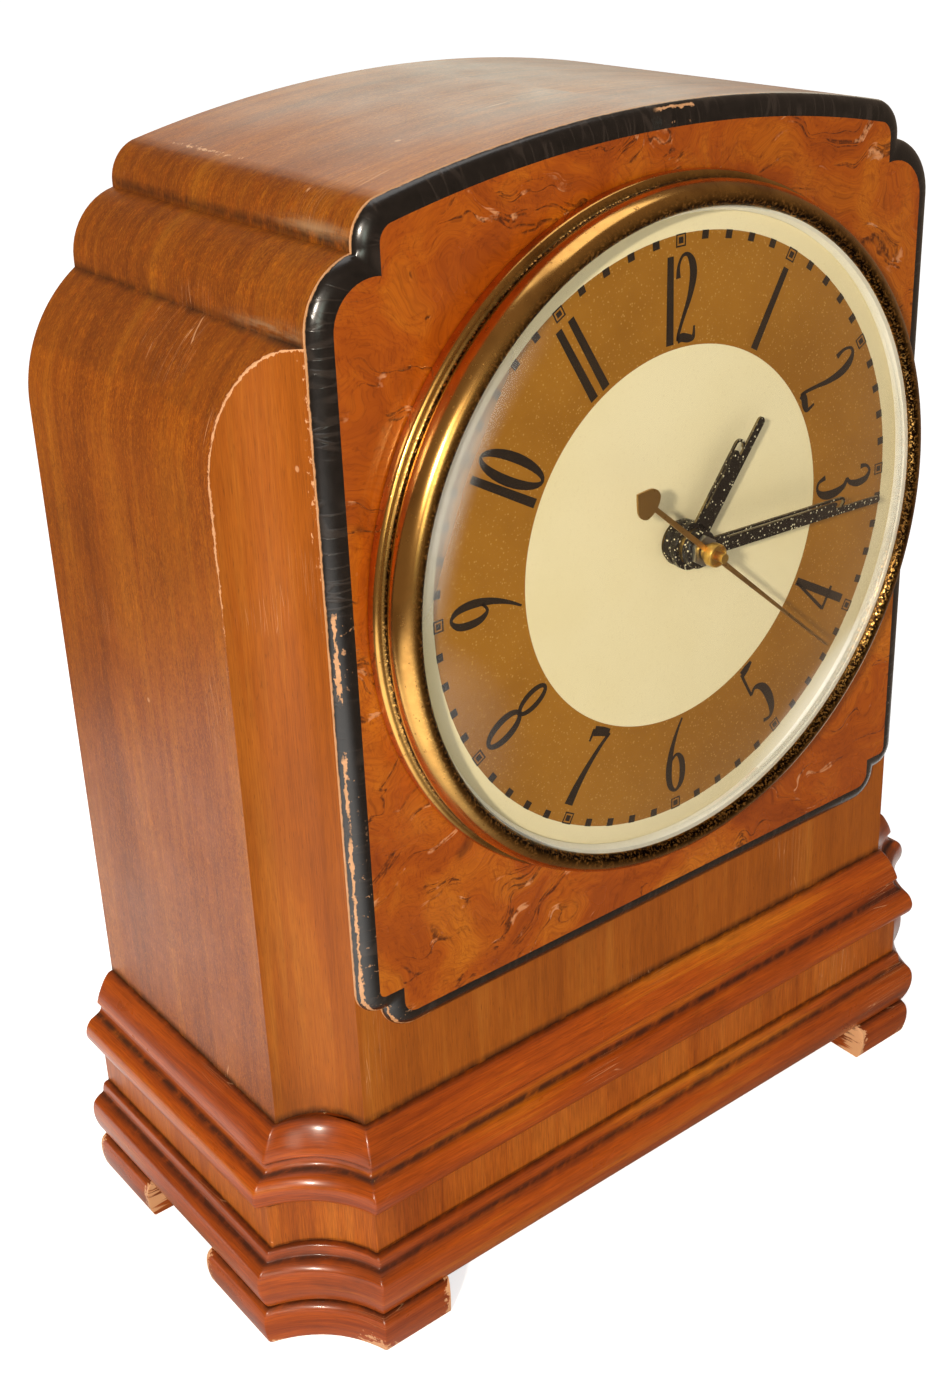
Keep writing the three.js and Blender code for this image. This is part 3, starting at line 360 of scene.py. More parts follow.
class Graph:
    """The nodes of a material or of the world, joined as they are made."""

    def __init__(self, owner: Finish | bpy.types.World) -> None:
        """Empty a node tree.

        Args:
            owner: The material or the world that it belongs to.
        """
        owner.use_nodes = True
        self.owner = owner
        self.nodes = owner.node_tree.nodes
        self.links = owner.node_tree.links
        self.nodes.clear()

    @classmethod
    def named(cls, name: str) -> "Graph":
        """Start a new material."""
        return cls(bpy.data.materials.new(name))

    def node(
        self, kind: str, inputs: dict[str | int, object] | None = None, **settings: object,
    ) -> bpy.types.Node:
        """Add a node.

        Args:
            kind: Blender's name of the node type, without ShaderNode before it.
            inputs: Values or sockets by input name or index.
            **settings: The node's own properties.

        Returns:
            The new node.
        """
        made = self.nodes.new(f"ShaderNode{kind}")
        for key, value in settings.items():
            setattr(made, key, value)
        for key, value in (inputs or {}).items():
            if isinstance(value, Socket):
                self.links.new(value, made.inputs[key])
            else:
                made.inputs[key].default_value = value
        return made

    def attribute(self, name: str) -> Socket:
        """Read one of the mesh's own layers as a vector."""
        return self.node("Attribute", attribute_name=name).outputs["Vector"]

    def spot(self) -> Socket:
        """Give the place on the object."""
        return self.node("TexCoord").outputs["Object"]

    def split(self, vector: Socket) -> list[Socket]:
        """Give the three parts of a vector."""
        return list(self.node("SeparateXYZ", {0: vector}).outputs)

    def stretched(self, vector: Socket, scale: Triple, shift: Triple = (0.0, 0.0, 0.0)) -> Socket:
        """Scale a vector by a factor for each axis, then shift it."""
        return self.node("Mapping", {0: vector, "Location": shift, "Scale": scale}).outputs[0]

    def tilted(self, vector: Socket, degrees: float) -> Socket:
        """Turn a vector in its first two axes."""
        turn = (0.0, 0.0, math.radians(degrees))
        return self.node("Mapping", {0: vector, "Rotation": turn}).outputs[0]

    def math(self, rule: str, a: object, b: object = 0.0, c: object = 0.0) -> Socket:
        """Join two or three numbers by one of Blender's rules."""
        return self.node("Math", {0: a, 1: b, 2: c}, operation=rule).outputs[0]

    def times(self, *factors: object) -> Socket:
        """Multiply numbers."""
        return reduce(lambda a, b: self.math("MULTIPLY", a, b), factors)

    def plus(self, a: object, b: object) -> Socket:
        """Add two numbers."""
        return self.math("ADD", a, b)

    def scaled(self, value: object, factor: object, offset: object) -> Socket:
        """Multiply a number by a factor, then add an offset."""
        return self.math("MULTIPLY_ADD", value, factor, offset)

    def larger(self, *numbers: object) -> Socket:
        """Give the largest of some numbers."""
        return reduce(lambda a, b: self.math("MAXIMUM", a, b), numbers)

    def apart(self, a: object, b: object) -> Socket:
        """Give how far two numbers lie apart."""
        return self.math("ABSOLUTE", self.math("SUBTRACT", a, b))

    def folds(self, value: object, count: float) -> Socket:
        """Cut a number into equal spans, in each of which it rises from 0 to 1."""
        return self.math("FRACT", self.times(value, count))

    def noise(
        self, vector: Socket, scale: float, detail: float = 2.0, rough: float = 0.5,
        twist: float = 0.0, tinted: bool = False,
    ) -> Socket:
        """Add cloudy noise.

        Args:
            vector: Where to look it up.
            scale: Clouds per unit of the vector.
            detail: How many finer layers it has.
            rough: How strong the finer layers are.
            twist: How much it is distorted.
            tinted: Whether to give three numbers in place of one.

        Returns:
            Its value.
        """
        made = self.node(
            "TexNoise",
            {"Vector": vector, "Scale": scale, "Detail": detail, "Roughness": rough, "Distortion": twist},
        )
        return made.outputs["Color" if tinted else 0]

    def streaks(
        self, vector: Socket, scale: Triple, detail: float = 2.0, rough: float = 0.5,
        twist: float = 0.0, shift: Triple = (0.0, 0.0, 0.0),
    ) -> Socket:
        """Give noise that is drawn out to a scale of its own on each axis."""
        return self.noise(self.stretched(vector, scale, shift), 1.0, detail, rough, twist)

    def cells(self, vector: Socket, scale: float, feature: str = "F1", jitter: float = 1.0) -> Socket:
        """Give the distance within a pattern of cells."""
        inputs = {"Vector": vector, "Scale": scale, "Randomness": jitter}
        return self.node("TexVoronoi", inputs, feature=feature).outputs["Distance"]

    def step(self, value: Socket, low: float, high: float) -> Socket:
        """Rise smoothly from 0 to 1, or fall if low is above high.

        Args:
            value: The number that is looked at.
            low: Where it gives 0.
            high: Where it gives 1.

        Returns:
            A number from 0 to 1.
        """
        ends = (0.0, 1.0) if low < high else (1.0, 0.0)
        made = self.node(
            "MapRange", {0: value, 1: min(low, high), 2: max(low, high), 3: ends[0], 4: ends[1]},
            interpolation_type="SMOOTHSTEP")
        return made.outputs[0]

    def blend(self, share: object, under: object, over: object, rule: str = "MIX") -> Socket:
        """Lay one colour over another.

        Args:
            share: How much of the upper colour shows.
            under: The lower colour, as a hex code or a socket.
            over: The upper colour, as a hex code or a socket.
            rule: Blender's blend rule.

        Returns:
            The mixed colour.
        """
        made = self.nodes.new("ShaderNodeMix")
        made.data_type = "RGBA"
        made.blend_type = rule
        for index, value in ((0, share), (6, under), (7, over)):
            if isinstance(value, Socket):
                self.links.new(value, made.inputs[index])
            else:
                made.inputs[index].default_value = colour(value) if isinstance(value, str) else value
        return made.outputs[2]

    def laid(self, under: object, over: object, *shares: object) -> Socket:
        """Lay one colour over another by the product of some shares."""
        return self.blend(self.times(*shares), under, over)

    def ramp(self, value: Socket, stops: Sequence[tuple[float, str]]) -> Socket:
        """Colour a number.

        Args:
            value: The number.
            stops: Values and the hex colour at each.

        Returns:
            The colour.
        """
        made = self.node("ValToRGB", {0: value})
        points = made.color_ramp.elements
        while len(points) < len(stops):
            points.new(0.5)
        for point, (spot, code) in zip(points, stops):
            point.position = spot
            point.color = colour(code)
        return made.outputs[0]

    def grey(self, value: Socket) -> Socket:
        """Turn a brightness into a grey."""
        return self.node("CombineColor", {0: value, 1: value, 2: value}).outputs[0]

    def direct_rays(self) -> tuple[Socket, Socket]:
        """Tell apart the ways in which a place is seen.

        Returns:
            1 where it is seen directly or through clear glass, and 1 where it is seen as a reflection.
        """
        rays = self.node("LightPath").outputs
        unlit = self.math("LESS_THAN", rays["Diffuse Depth"], 0.5)
        mirrored = self.times(unlit, self.math("GREATER_THAN", rays["Glossy Depth"], 0.5))
        through = self.times(rays["Is Transmission Ray"], self.math("SUBTRACT", unlit, mirrored))
        return self.larger(rays["Is Camera Ray"], through), mirrored

    def relief(self, height: Socket, depth: float, strength: float) -> Socket:
        """Turn a height into a bent normal.

        Args:
            height: The height, about 0 to 1.
            depth: What a height of 1 is, in millimetres.
            strength: How much of it shows.

        Returns:
            The bent normal.
        """
        inputs = {"Height": height, "Distance": depth * MM, "Strength": strength}
        return self.node("Bump", inputs).outputs[0]

    def finish(self, **sockets: object) -> Finish:
        """Add the surface shader and give the material.

        Args:
            **sockets: The shader's inputs, with underscores for spaces.

        Returns:
            The finished material.
        """
        inputs = {key.replace("_", " "): value for key, value in sockets.items()}
        return self.close(self.node("BsdfPrincipled", inputs))

    def between(self, share: object, first: bpy.types.Node, second: bpy.types.Node) -> bpy.types.Node:
        """Mix two shaders, the second by its share."""
        return self.node("MixShader", {0: share, 1: first.outputs[0], 2: second.outputs[0]})

    def close(self, shader: bpy.types.Node) -> Finish:
        """Join a material's last shader to its output and give the material."""
        self.node("OutputMaterial", {"Surface": shader.outputs[0]})
        return self.owner


class Cut(Enum):
    """How a leaf of veneer was cut."""

    PLAIN = "plain"
    CURLY = "curly"


@dataclass(frozen=True)
class Wood:
    """A lacquered wood with a straight or curly grain, darkened in its recesses and worn on its arrises."""

    name: str
    dark: str
    mid: str
    light: str
    cut: Cut = Cut.PLAIN
    grime: str = "#2a150c"
    bare: str = "#dba274"
    contrast: float = 0.5
    rough: float = 0.36
    coat: float = 0.1
    dust: str = "#b09a78"
    gloss: float = 0.25
    stains: float = 0.2

    def material(self) -> Finish:
        """Build the wood's nodes: broad figure, fibres, pores, grime, wear and lacquer.

        Returns:
            The material.
        """
        g = Graph.named(self.name)
        grain = g.attribute("grain")
        worn, grimy, dusty = g.split(g.attribute("state"))
        broad = g.streaks(grain, (9, 55, 1), 3, 0.55, 0.6)
        bands = g.streaks(grain, (14, 420, 1), 3, 0.6, 0.3, shift=(3, 1, 0))
        fibre = g.streaks(grain, (160, 3600, 1), 2, 0.6)
        tone = g.scaled(broad, 0.62, g.times(bands, 0.38))
        tint = g.ramp(tone, [(0.28, self.dark), (0.5, self.mid), (0.74, self.light)])
        streak = g.scaled(g.step(fibre, 0.3, 0.7), self.contrast * 0.5, 1 - self.contrast * 0.3)
        tint = g.blend(1.0, tint, g.grey(streak), "MULTIPLY")
        if self.cut is Cut.CURLY:
            curl = g.streaks(grain, (820, 3300, 1), 3, 0.7, 1.6, shift=(7, 2, 0))
            patch = g.step(g.noise(grain, 60, 2), 0.35, 0.65)
            share = g.times(g.step(curl, 0.46, 0.64), g.scaled(patch, 0.35, 0.4))
            tint = g.blend(share, tint, self.dark)
            tint = g.laid(tint, self.light, g.step(curl, 0.47, 0.32), 0.65)
        pores = g.step(g.streaks(grain, (380, 4200, 1), 1, 0.4, shift=(1, 9, 0)), 0.66, 0.74)
        tint = g.laid(tint, self.grime, pores, 0.35)
        cloud = g.noise(grain, 260, 4, 0.65)
        soiled = g.times(grimy, g.step(cloud, 0.15, 0.58))
        stain = g.times(g.step(g.noise(grain, 19, 5, 0.62), 0.5, 0.78), self.stains)
        tint = g.blend(stain, tint, self.grime)
        tint = g.blend(g.math("MINIMUM", soiled, 0.92), tint, self.grime)
        chips = g.noise(grain, 700, 4, 0.7)
        bared = g.step(g.plus(chips, g.times(worn, 0.42)), 0.83, 0.9)
        tint = g.laid(tint, self.bare, bared, g.step(worn, 0.05, 0.5))
        hair = g.cells(g.stretched(grain, (26, 900, 1), (5, 5, 0)), 1.0, "DISTANCE_TO_EDGE")
        scratch = g.times(g.step(hair, 0.012, 0.002), g.step(g.noise(grain, 34, 1), 0.6, 0.68))
        nick = g.times(g.step(g.cells(grain, 48), 0.035, 0.02), g.step(g.noise(grain, 30, 1), 0.52, 0.56))
        tint = g.laid(tint, self.bare, g.larger(scratch, nick), 0.6)
        scuff = g.times(dusty, g.step(g.streaks(grain, (500, 60, 1), 4, 0.7), 0.35, 0.6))
        tint = g.laid(tint, self.dust, scuff, 0.6)
        smear = g.noise(grain, 42, 4, 0.6)
        rough = g.scaled(smear, 0.22, g.scaled(soiled, 0.25, self.rough - 0.11))
        height = g.plus(g.times(fibre, 0.5), g.times(pores, -0.6))
        return g.finish(
            Base_Color=tint, Roughness=rough, Specular_IOR_Level=self.gloss, Coat_Weight=self.coat,
            Coat_Roughness=0.16, Normal=g.relief(height, 0.03, 0.35),
        )


@dataclass(frozen=True)
class Burl:
    """Lacquered burl veneer: swirling fibres, dark eyes, fine cracks and a few chipped places."""

    name: str = "burl_veneer_lacquered"
    dark: str = "#823609"
    mid: str = "#a84f08"
    light: str = "#c47014"
    shade: str = "#642806"
    crack: str = "#45200c"
    chip: str = "#d99563"

    def material(self) -> Finish:
        """Build the burl's nodes: figure, fibres, eyes, and cracks that rise to the right.

        Returns:
            The material.
        """
        g = Graph.named(self.name)
        grain = g.attribute("grain")
        drift = g.noise(grain, 26, 3, 0.55, tinted=True)
        inputs = {0: drift, 1: (0.05, 0.05, 0.0), 2: grain}
        warped = g.node("VectorMath", inputs, operation="MULTIPLY_ADD").outputs[0]
        cloud = g.noise(warped, 34, 4, 0.6, 1.2)
        swirl = g.noise(warped, 62, 2, 0.5, 2.2)
        ridge = g.apart(g.folds(swirl, 15.0), 0.5)
        tint = g.ramp(cloud, [(0.27, self.dark), (0.47, self.mid), (0.72, self.light)])
        tint = g.laid(tint, self.dark, g.step(ridge, 0.2, 0.5), 0.22)
        fibre = g.streaks(warped, (220, 1900, 1), 3, 0.6, 0.8)
        tint = g.laid(tint, self.dark, g.step(fibre, 0.45, 0.7), 0.45)
        fine = g.streaks(warped, (1500, 700, 1), 3, 0.7, 0.6, shift=(4, 4, 0))
        tint = g.laid(tint, self.shade, g.step(fine, 0.5, 0.68), 0.4)
        eyed = g.step(g.noise(grain, 22, 2), 0.52, 0.66)
        eye = g.times(g.step(g.cells(warped, 95), 0.26, 0.08), eyed)
        tint = g.laid(tint, self.crack, eye, 0.6)
        rising = g.tilted(warped, -11)
        bent = g.streaks(rising, (13, 62, 1), 5, 0.6, 0.4, shift=(2, 6, 0))
        seam = g.apart(g.folds(bent, 7.0), 0.5)
        torn = g.noise(grain, 900, 3, 0.7)
        span = g.step(g.streaks(rising, (45, 120, 1), 2, shift=(9, 1, 0)), 0.44, 0.52)
        crack = g.times(g.step(seam, 0.07, 0.02), span, g.step(torn, 0.3, 0.6))
        tint = g.laid(tint, self.crack, crack, 0.85)
        flaked = g.step(g.noise(grain, 150, 4, 0.6), 0.56, 0.64)
        chip = g.times(g.step(seam, 0.13, 0.06), span, flaked)
        tint = g.laid(tint, self.chip, chip, 0.8)
        height = g.plus(g.times(crack, -1.0), g.times(cloud, 0.25))
        rough = g.scaled(g.noise(grain, 70, 3), 0.16, 0.18)
        return g.finish(
            Base_Color=tint, Roughness=rough, Specular_IOR_Level=0.3, Coat_Weight=0.2,
            Coat_Roughness=0.1, Normal=g.relief(height, 0.12, 0.5),
        )


@dataclass(frozen=True)
class Ebonised:
    """Black-stained lacquered edge: a bare outer line, crossways crazing and chips along the left."""

    name: str = "ebonised_edge"
    black: str = "#080605"
    brown: str = "#1b1512"
    crazed: str = "#463b34"
    raw: str = "#b98350"
    bare: str = "#d6a074"

    def material(self) -> Finish:
        """Build the edge's nodes.

        The state holds the share of the rounding, where chips lie and how bare the outer line is.

        Returns:
            The material.
        """
        g = Graph.named(self.name)
        grain = g.attribute("grain")
        share, chipped, outer = g.split(g.attribute("state"))
        cloud = g.noise(grain, 320, 4, 0.65)
        tint = g.ramp(cloud, [(0.3, self.black), (0.75, self.brown)])
        craze = g.cells(g.stretched(grain, (420, 60, 1)), 1.0, "DISTANCE_TO_EDGE", 0.8)
        crack = g.times(g.step(craze, 0.07, 0.015), g.step(g.noise(grain, 120, 2), 0.4, 0.6))
        tint = g.laid(tint, self.crazed, crack, 0.3)
        rag = g.noise(grain, 420, 5, 0.75)
        edge = g.step(g.scaled(rag, 0.2, share), 0.25, 0.19)
        seam = g.apart(share, g.scaled(rag, 0.5, 0.13))
        width = g.scaled(g.noise(grain, 160, 2), 0.16, -0.02)
        split = g.times(g.math("LESS_THAN", seam, width), g.step(g.plus(rag, chipped), 0.9, 1.0))
        loose = g.times(g.step(g.noise(grain, 520, 3, 0.7), 0.62, 0.68), g.step(chipped, 0.2, 0.7))
        bared = g.larger(g.times(edge, outer), split, g.times(loose, 0.7))
        tint = g.blend(bared, tint, g.ramp(cloud, [(0.3, self.raw), (0.7, self.bare)]))
        rough = g.scaled(bared, 0.4, g.scaled(cloud, 0.14, 0.17))
        height = g.plus(g.times(cloud, 0.5), g.times(g.larger(crack, bared), -0.7))
        return g.finish(
            Base_Color=tint, Roughness=rough, Specular_IOR_Level=0.35, Coat_Weight=0.8,
            Coat_Roughness=0.27, Normal=g.relief(height, 0.12, 0.45),
        )


class Surface(Enum):
    """How a metal's surface was left."""

    SPUN = "spun"
    STAMPED = "stamped"


@dataclass(frozen=True)
class Metal:
    """A metal part, spun or stamped, with tarnish."""

    name: str
    clean: str
    dull: str
    surface: Surface = Surface.STAMPED
    rough: float = 0.3
    tarnish: float = 0.35
    soil: str = "#140c07"

    def material(self) -> Finish:
        """Build the metal's nodes: tarnish clouds, small pits and the marks of its making.

        Returns:
            The material.
        """
        g = Graph.named(self.name)
        spot = g.spot()
        cloud = g.noise(spot, 70, 4, 0.6)
        pits = g.step(g.noise(spot, 900, 3, 0.65), 0.62, 0.7)
        tint = g.laid(self.clean, self.dull, g.step(cloud, 0.4, 0.75), self.tarnish)
        tint = g.laid(tint, self.dull, pits, self.tarnish)
        soiled: object = 0.0
        if self.surface is Surface.SPUN:
            _, grimy, ring = g.split(g.attribute("state"))
            soiled = g.times(grimy, g.step(g.noise(spot, 1900, 3, 0.7), 0.64, 0.5))
            tint = g.blend(soiled, tint, self.soil)
            across = g.node("CombineXYZ", {0: g.times(ring, 9.0)}).outputs[0]
            marks = g.times(g.noise(across, 1.0, 2), 0.6)
        else:
            marks = g.streaks(spot, (300, 300, 2600), 2, 0.6)
        rough = g.scaled(cloud, 0.18, g.scaled(pits, 0.15, self.rough - 0.09))
        rough = g.scaled(soiled, 0.2, rough)
        height = g.math("SUBTRACT", marks, g.times(pits, 0.7))
        return g.finish(
            Base_Color=tint, Metallic=1.0, Roughness=rough, Normal=g.relief(height, 0.02, 0.4))


@dataclass(frozen=True)
class Coating:
    """Paint, enamel, print, moulded plastic or bare board: one colour with age, specks and a fine tooth."""

    name: str
    main: str
    shade: str
    speck: str
    rough: float = 0.5
    coat: float = 0.0
    tooth: float = 600.0
    depth: float = 0.01
    specks: float = 0.3
    clouds: float = 30.0
    gloss: float = 0.5

    def material(self) -> Finish:
        """Build the coating's nodes: two shades in clouds, specks and tooth.

        Returns:
            The material.
        """
        g = Graph.named(self.name)
        spot = g.spot()
        cloud = g.noise(spot, self.clouds, 4, 0.6)
        tint = g.blend(g.step(cloud, 0.32, 0.72), self.main, self.shade)
        dots = g.step(g.cells(spot, 1500), 0.34, 0.18)
        dots = g.times(dots, g.step(g.noise(spot, 900, 2, 0.6), 0.46, 0.56))
        tint = g.laid(tint, self.speck, dots, self.specks)
        tooth = g.noise(spot, self.tooth, 3, 0.6)
        rough = g.scaled(cloud, 0.14, g.scaled(dots, 0.1, self.rough - 0.07))
        return g.finish(
            Base_Color=tint, Roughness=rough, Specular_IOR_Level=self.gloss, Coat_Weight=self.coat,
            Coat_Roughness=0.12, Normal=g.relief(tooth, self.depth, 0.5),
        )


@dataclass(frozen=True)
class RawWood:
    """Bare timber with its grain along one of the frame's axes."""

    name: str
    dark: str
    light: str
    along: Triple = (6.0, 90.0, 90.0)

    def material(self) -> Finish:
        """Build the timber's nodes: year rings and fibres.

        Returns:
            The material.
        """
        g = Graph.named(self.name)
        spot = g.spot()
        rings = g.folds(g.streaks(spot, self.along, 3, 0.55, 0.8), 9.0)
        x, y, z = self.along
        fibre = g.streaks(spot, (12 * x, 12 * y, 12 * z), 2, 0.6)
        tint = g.ramp(rings, [(0.1, self.light), (0.8, self.dark), (1.0, self.light)])
        tint = g.laid(tint, self.dark, g.step(fibre, 0.45, 0.7), 0.4)
        return g.finish(Base_Color=tint, Roughness=0.78, Normal=g.relief(fibre, 0.06, 0.6))


@dataclass(frozen=True)
class Winding:
    """Varnished tape wound over a coil."""

    name: str = "coil_tape"
    main: str = "#6a2812"
    gap: str = "#2c0f06"
    turns: float = 420.0

    def material(self) -> Finish:
        """Build the tape's nodes: overlapping turns with a dark line between them.

        Returns:
            The material.
        """
        g = Graph.named(self.name)
        spot = g.spot()
        x, _, _ = g.split(spot)
        uneven = g.times(g.noise(spot, 60, 1), MM)
        turn = g.folds(g.plus(x, uneven), self.turns)
        seam = g.step(turn, 0.16, 0.0)
        tint = g.laid(self.main, self.gap, seam, 0.8)
        weave = g.streaks(spot, (2600, 900, 900), 2)
        tint = g.laid(tint, self.gap, g.step(weave, 0.45, 0.7), 0.4)
        return g.finish(
            Base_Color=tint, Roughness=0.38, Coat_Weight=0.4, Coat_Roughness=0.2,
            Normal=g.relief(g.math("SUBTRACT", turn, g.times(weave, 0.3)), 0.25, 0.8),
        )


@dataclass(frozen=True)
class Laminations:
    """Thin steel sheets stacked from front to back."""

    name: str = "stacked_sheets"
    main: str = "#50524f"
    gap: str = "#1d1c1b"
    rust: str = "#6b3c20"
    sheets: float = 1800.0

    def material(self) -> Finish:
        """Build the stack's nodes: sheet edges in turn and a little rust.

        Returns:
            The material.
        """
        g = Graph.named(self.name)
        spot = g.spot()
        _, y, _ = g.split(spot)
        gap = g.step(g.apart(g.folds(y, self.sheets), 0.5), 0.3, 0.48)
        rust = g.step(g.noise(spot, 160, 4, 0.6), 0.56, 0.7)
        tint = g.laid(self.main, self.gap, gap, 0.7)
        tint = g.laid(tint, self.rust, rust, 0.4)
        return g.finish(
            Base_Color=tint, Metallic=0.75, Roughness=0.48,
            Normal=g.relief(g.math("SUBTRACT", 1.0, gap), 0.08, 0.7))


@dataclass(frozen=True)
class ClearGlass:
    """Clear glass that lets the lamps through to the dial, rubbed dull in one place at its left edge.

    The place is an angle from the right in radians. It reaches as far either way, and in from the
    edge to where the radius in millimetres is the smaller of two.
    """

    name: str = "clear_glass"
    ior: float = 1.46
    rubbed: float = 2.68
    rubbed_reach: float = 0.6
    rubbed_radii: Pair = (57.0, 65.0)

    def material(self) -> Finish:
        """Build the glass: open to shadow and diffuse rays, with faint smears and its dull place.

        Returns:
            The material.
        """
        g = Graph.named(self.name)
        smear = g.noise(g.spot(), 45, 4, 0.6)
        rough = g.times(g.step(smear, 0.45, 0.8), 0.03)
        pane = g.node("BsdfPrincipled", {
            "Base Color": (1, 1, 1, 1), "Roughness": rough, "IOR": self.ior, "Transmission Weight": 1.0})
        gap = g.node("BsdfTransparent", {"Color": (0.97, 0.98, 0.97, 1)})
        rays = g.node("LightPath").outputs
        along, _, _ = g.split(g.attribute("grain"))
        _, _, ring = g.split(g.attribute("state"))
        turn = g.math("DIVIDE", g.times(along, 1 / MM), g.larger(ring, 1.0))
        beside = g.step(g.apart(turn, self.rubbed), self.rubbed_reach, 0.05)
        outward = g.math("POWER", g.step(ring, *self.rubbed_radii), 1.2)
        scuffs = g.scaled(g.noise(g.spot(), 90, 3, 0.6), 0.6, 0.7)
        outside = g.math("SUBTRACT", 1.0, rays["Is Transmission Ray"])
        haze = g.node("BsdfAnisotropic", {"Color": (1, 1, 1, 1), "Roughness": 0.55})
        pane = g.between(g.times(beside, outward, scuffs, outside), pane, haze)
        unbent = g.larger(rays["Is Shadow Ray"], rays["Is Diffuse Ray"])
        return g.close(g.between(unbent, pane, gap))


Recipe = Wood | Burl | Ebonised | Metal | Coating | RawWood | Winding | Laminations | ClearGlass


@dataclass(frozen=True)
class Shop:
    """Every finish of the clock, made once."""

    case: Finish
    scoop: Finish
    burl: Finish
    ebonised: Finish
    moulding: Finish
    frieze: Finish
    softwood: Finish
    board: Finish
    bezel: Finish
    wheel: Finish
    cream: Finish
    gold: Finish
    ink: Finish
    enamel: Finish
    glass: Finish
    hand: Finish
    hand_edge_wear_and_highlight: Finish
    seconds: Finish
    steel: Finish
    sheets: Finish
    coil: Finish
    plastic: Finish

    @classmethod
    def open(cls) -> "Shop":
        """Make all the finishes.

        Returns:
            The shop.
        """
        recipes: dict[str, Recipe] = dict(
            case=Wood(
                "case_veneer", "#6f3006", "#a05007", "#c87614", Cut.CURLY, grime="#2e1b0c",
                coat=0.05, gloss=0.2),
            # The corner veneer's colours are set lower so that the lamp light falling full on the scooped
            # corners comes out darker: painted shade.
            scoop=Wood("corner_veneer_painted_shade", "#84410a", "#9e5310", "#b16a1f", gloss=0.18),
            burl=Burl(),
            ebonised=Ebonised(),
            moulding=Wood(
                "moulding_mahogany", "#6a2204", "#a84905", "#d07b12", grime="#321709",
                contrast=0.7, rough=0.3, coat=0.3, gloss=0.28, stains=0.8),
            frieze=Wood(
                "frieze_veneer", "#823609", "#ae5812", "#c47224",
                contrast=0.8, gloss=0.18, stains=0.3),
            softwood=RawWood("bare_softwood", "#b98a55", "#d6b07a"),
            board=Coating(
                "back_board", "#7d5a37", "#65452a", "#a58458",
                rough=0.7, tooth=380, depth=0.06, specks=0.4, clouds=40),
            bezel=Metal(
                "bezel_brass", "#dea95c", "#6e3d18", Surface.SPUN,
                rough=0.19, tarnish=0.6, soil="#170b05"),
            wheel=Metal("wheel_brass", "#d3ad56", "#8a6a2c", rough=0.34, tarnish=0.4),
            cream=Coating(
                "dial_cream", "#eee0b6", "#e8d8a8", "#b3945c",
                rough=0.55, tooth=1500, depth=0.002, specks=0.12, clouds=14, gloss=0.12),
            gold=Coating(
                "dial_bronze", "#a16a17", "#905c0e", "#d6aa5c",
                tooth=1700, depth=0.003, specks=0.4, gloss=0.1),
            ink=Coating(
                "dial_ink", "#1a120c", "#281c10", "#4c381f",
                tooth=900, depth=0.004, clouds=60, gloss=0.12),
            enamel=Coating(
                "ring_enamel", "#fbf8ea", "#ece7d2", "#c9c2a0",
                rough=0.32, coat=0.3, tooth=500, depth=0.006, specks=0.2, clouds=26),
            glass=ClearGlass(),
            hand=Coating(
                "hand_black", "#070503", "#120d08", "#e6dab2",
                rough=0.26, coat=0.25, tooth=900, specks=1.0, clouds=120, gloss=0.2),
            # The hands' side faces take an olive lighter than the black: partly worn bare edges, partly a
            # painted highlight along the edges.
            hand_edge_wear_and_highlight=Coating(
                "hand_edge_wear_and_highlight", "#7a683e", "#2b2314", "#b8a67e",
                tooth=900, specks=0.6, clouds=300, gloss=0.2),
            seconds=Metal("second_hand_brass", "#b48d4c", "#5c3d18", rough=0.42, tarnish=0.6),
            steel=Metal("plain_steel", "#a2a19b", "#66625a", rough=0.36, tarnish=0.4),
            sheets=Laminations(),
            coil=Winding(),
            plastic=Coating(
                "moulded_black", "#1a1816", "#262220", "#4a4440",
                rough=0.3, coat=0.4, tooth=500, depth=0.012, specks=0.2, clouds=60),
        )
        return cls(**{part: recipe.material() for part, recipe in recipes.items()})


# Case

ARCH_STEPS = 26  # How many pieces each curve of the case is cut into.
ROUND_STEPS = 12
SHOULDER_STEPS = 20
SCOOP_STEPS = 12
HOLE_SIDES = 120


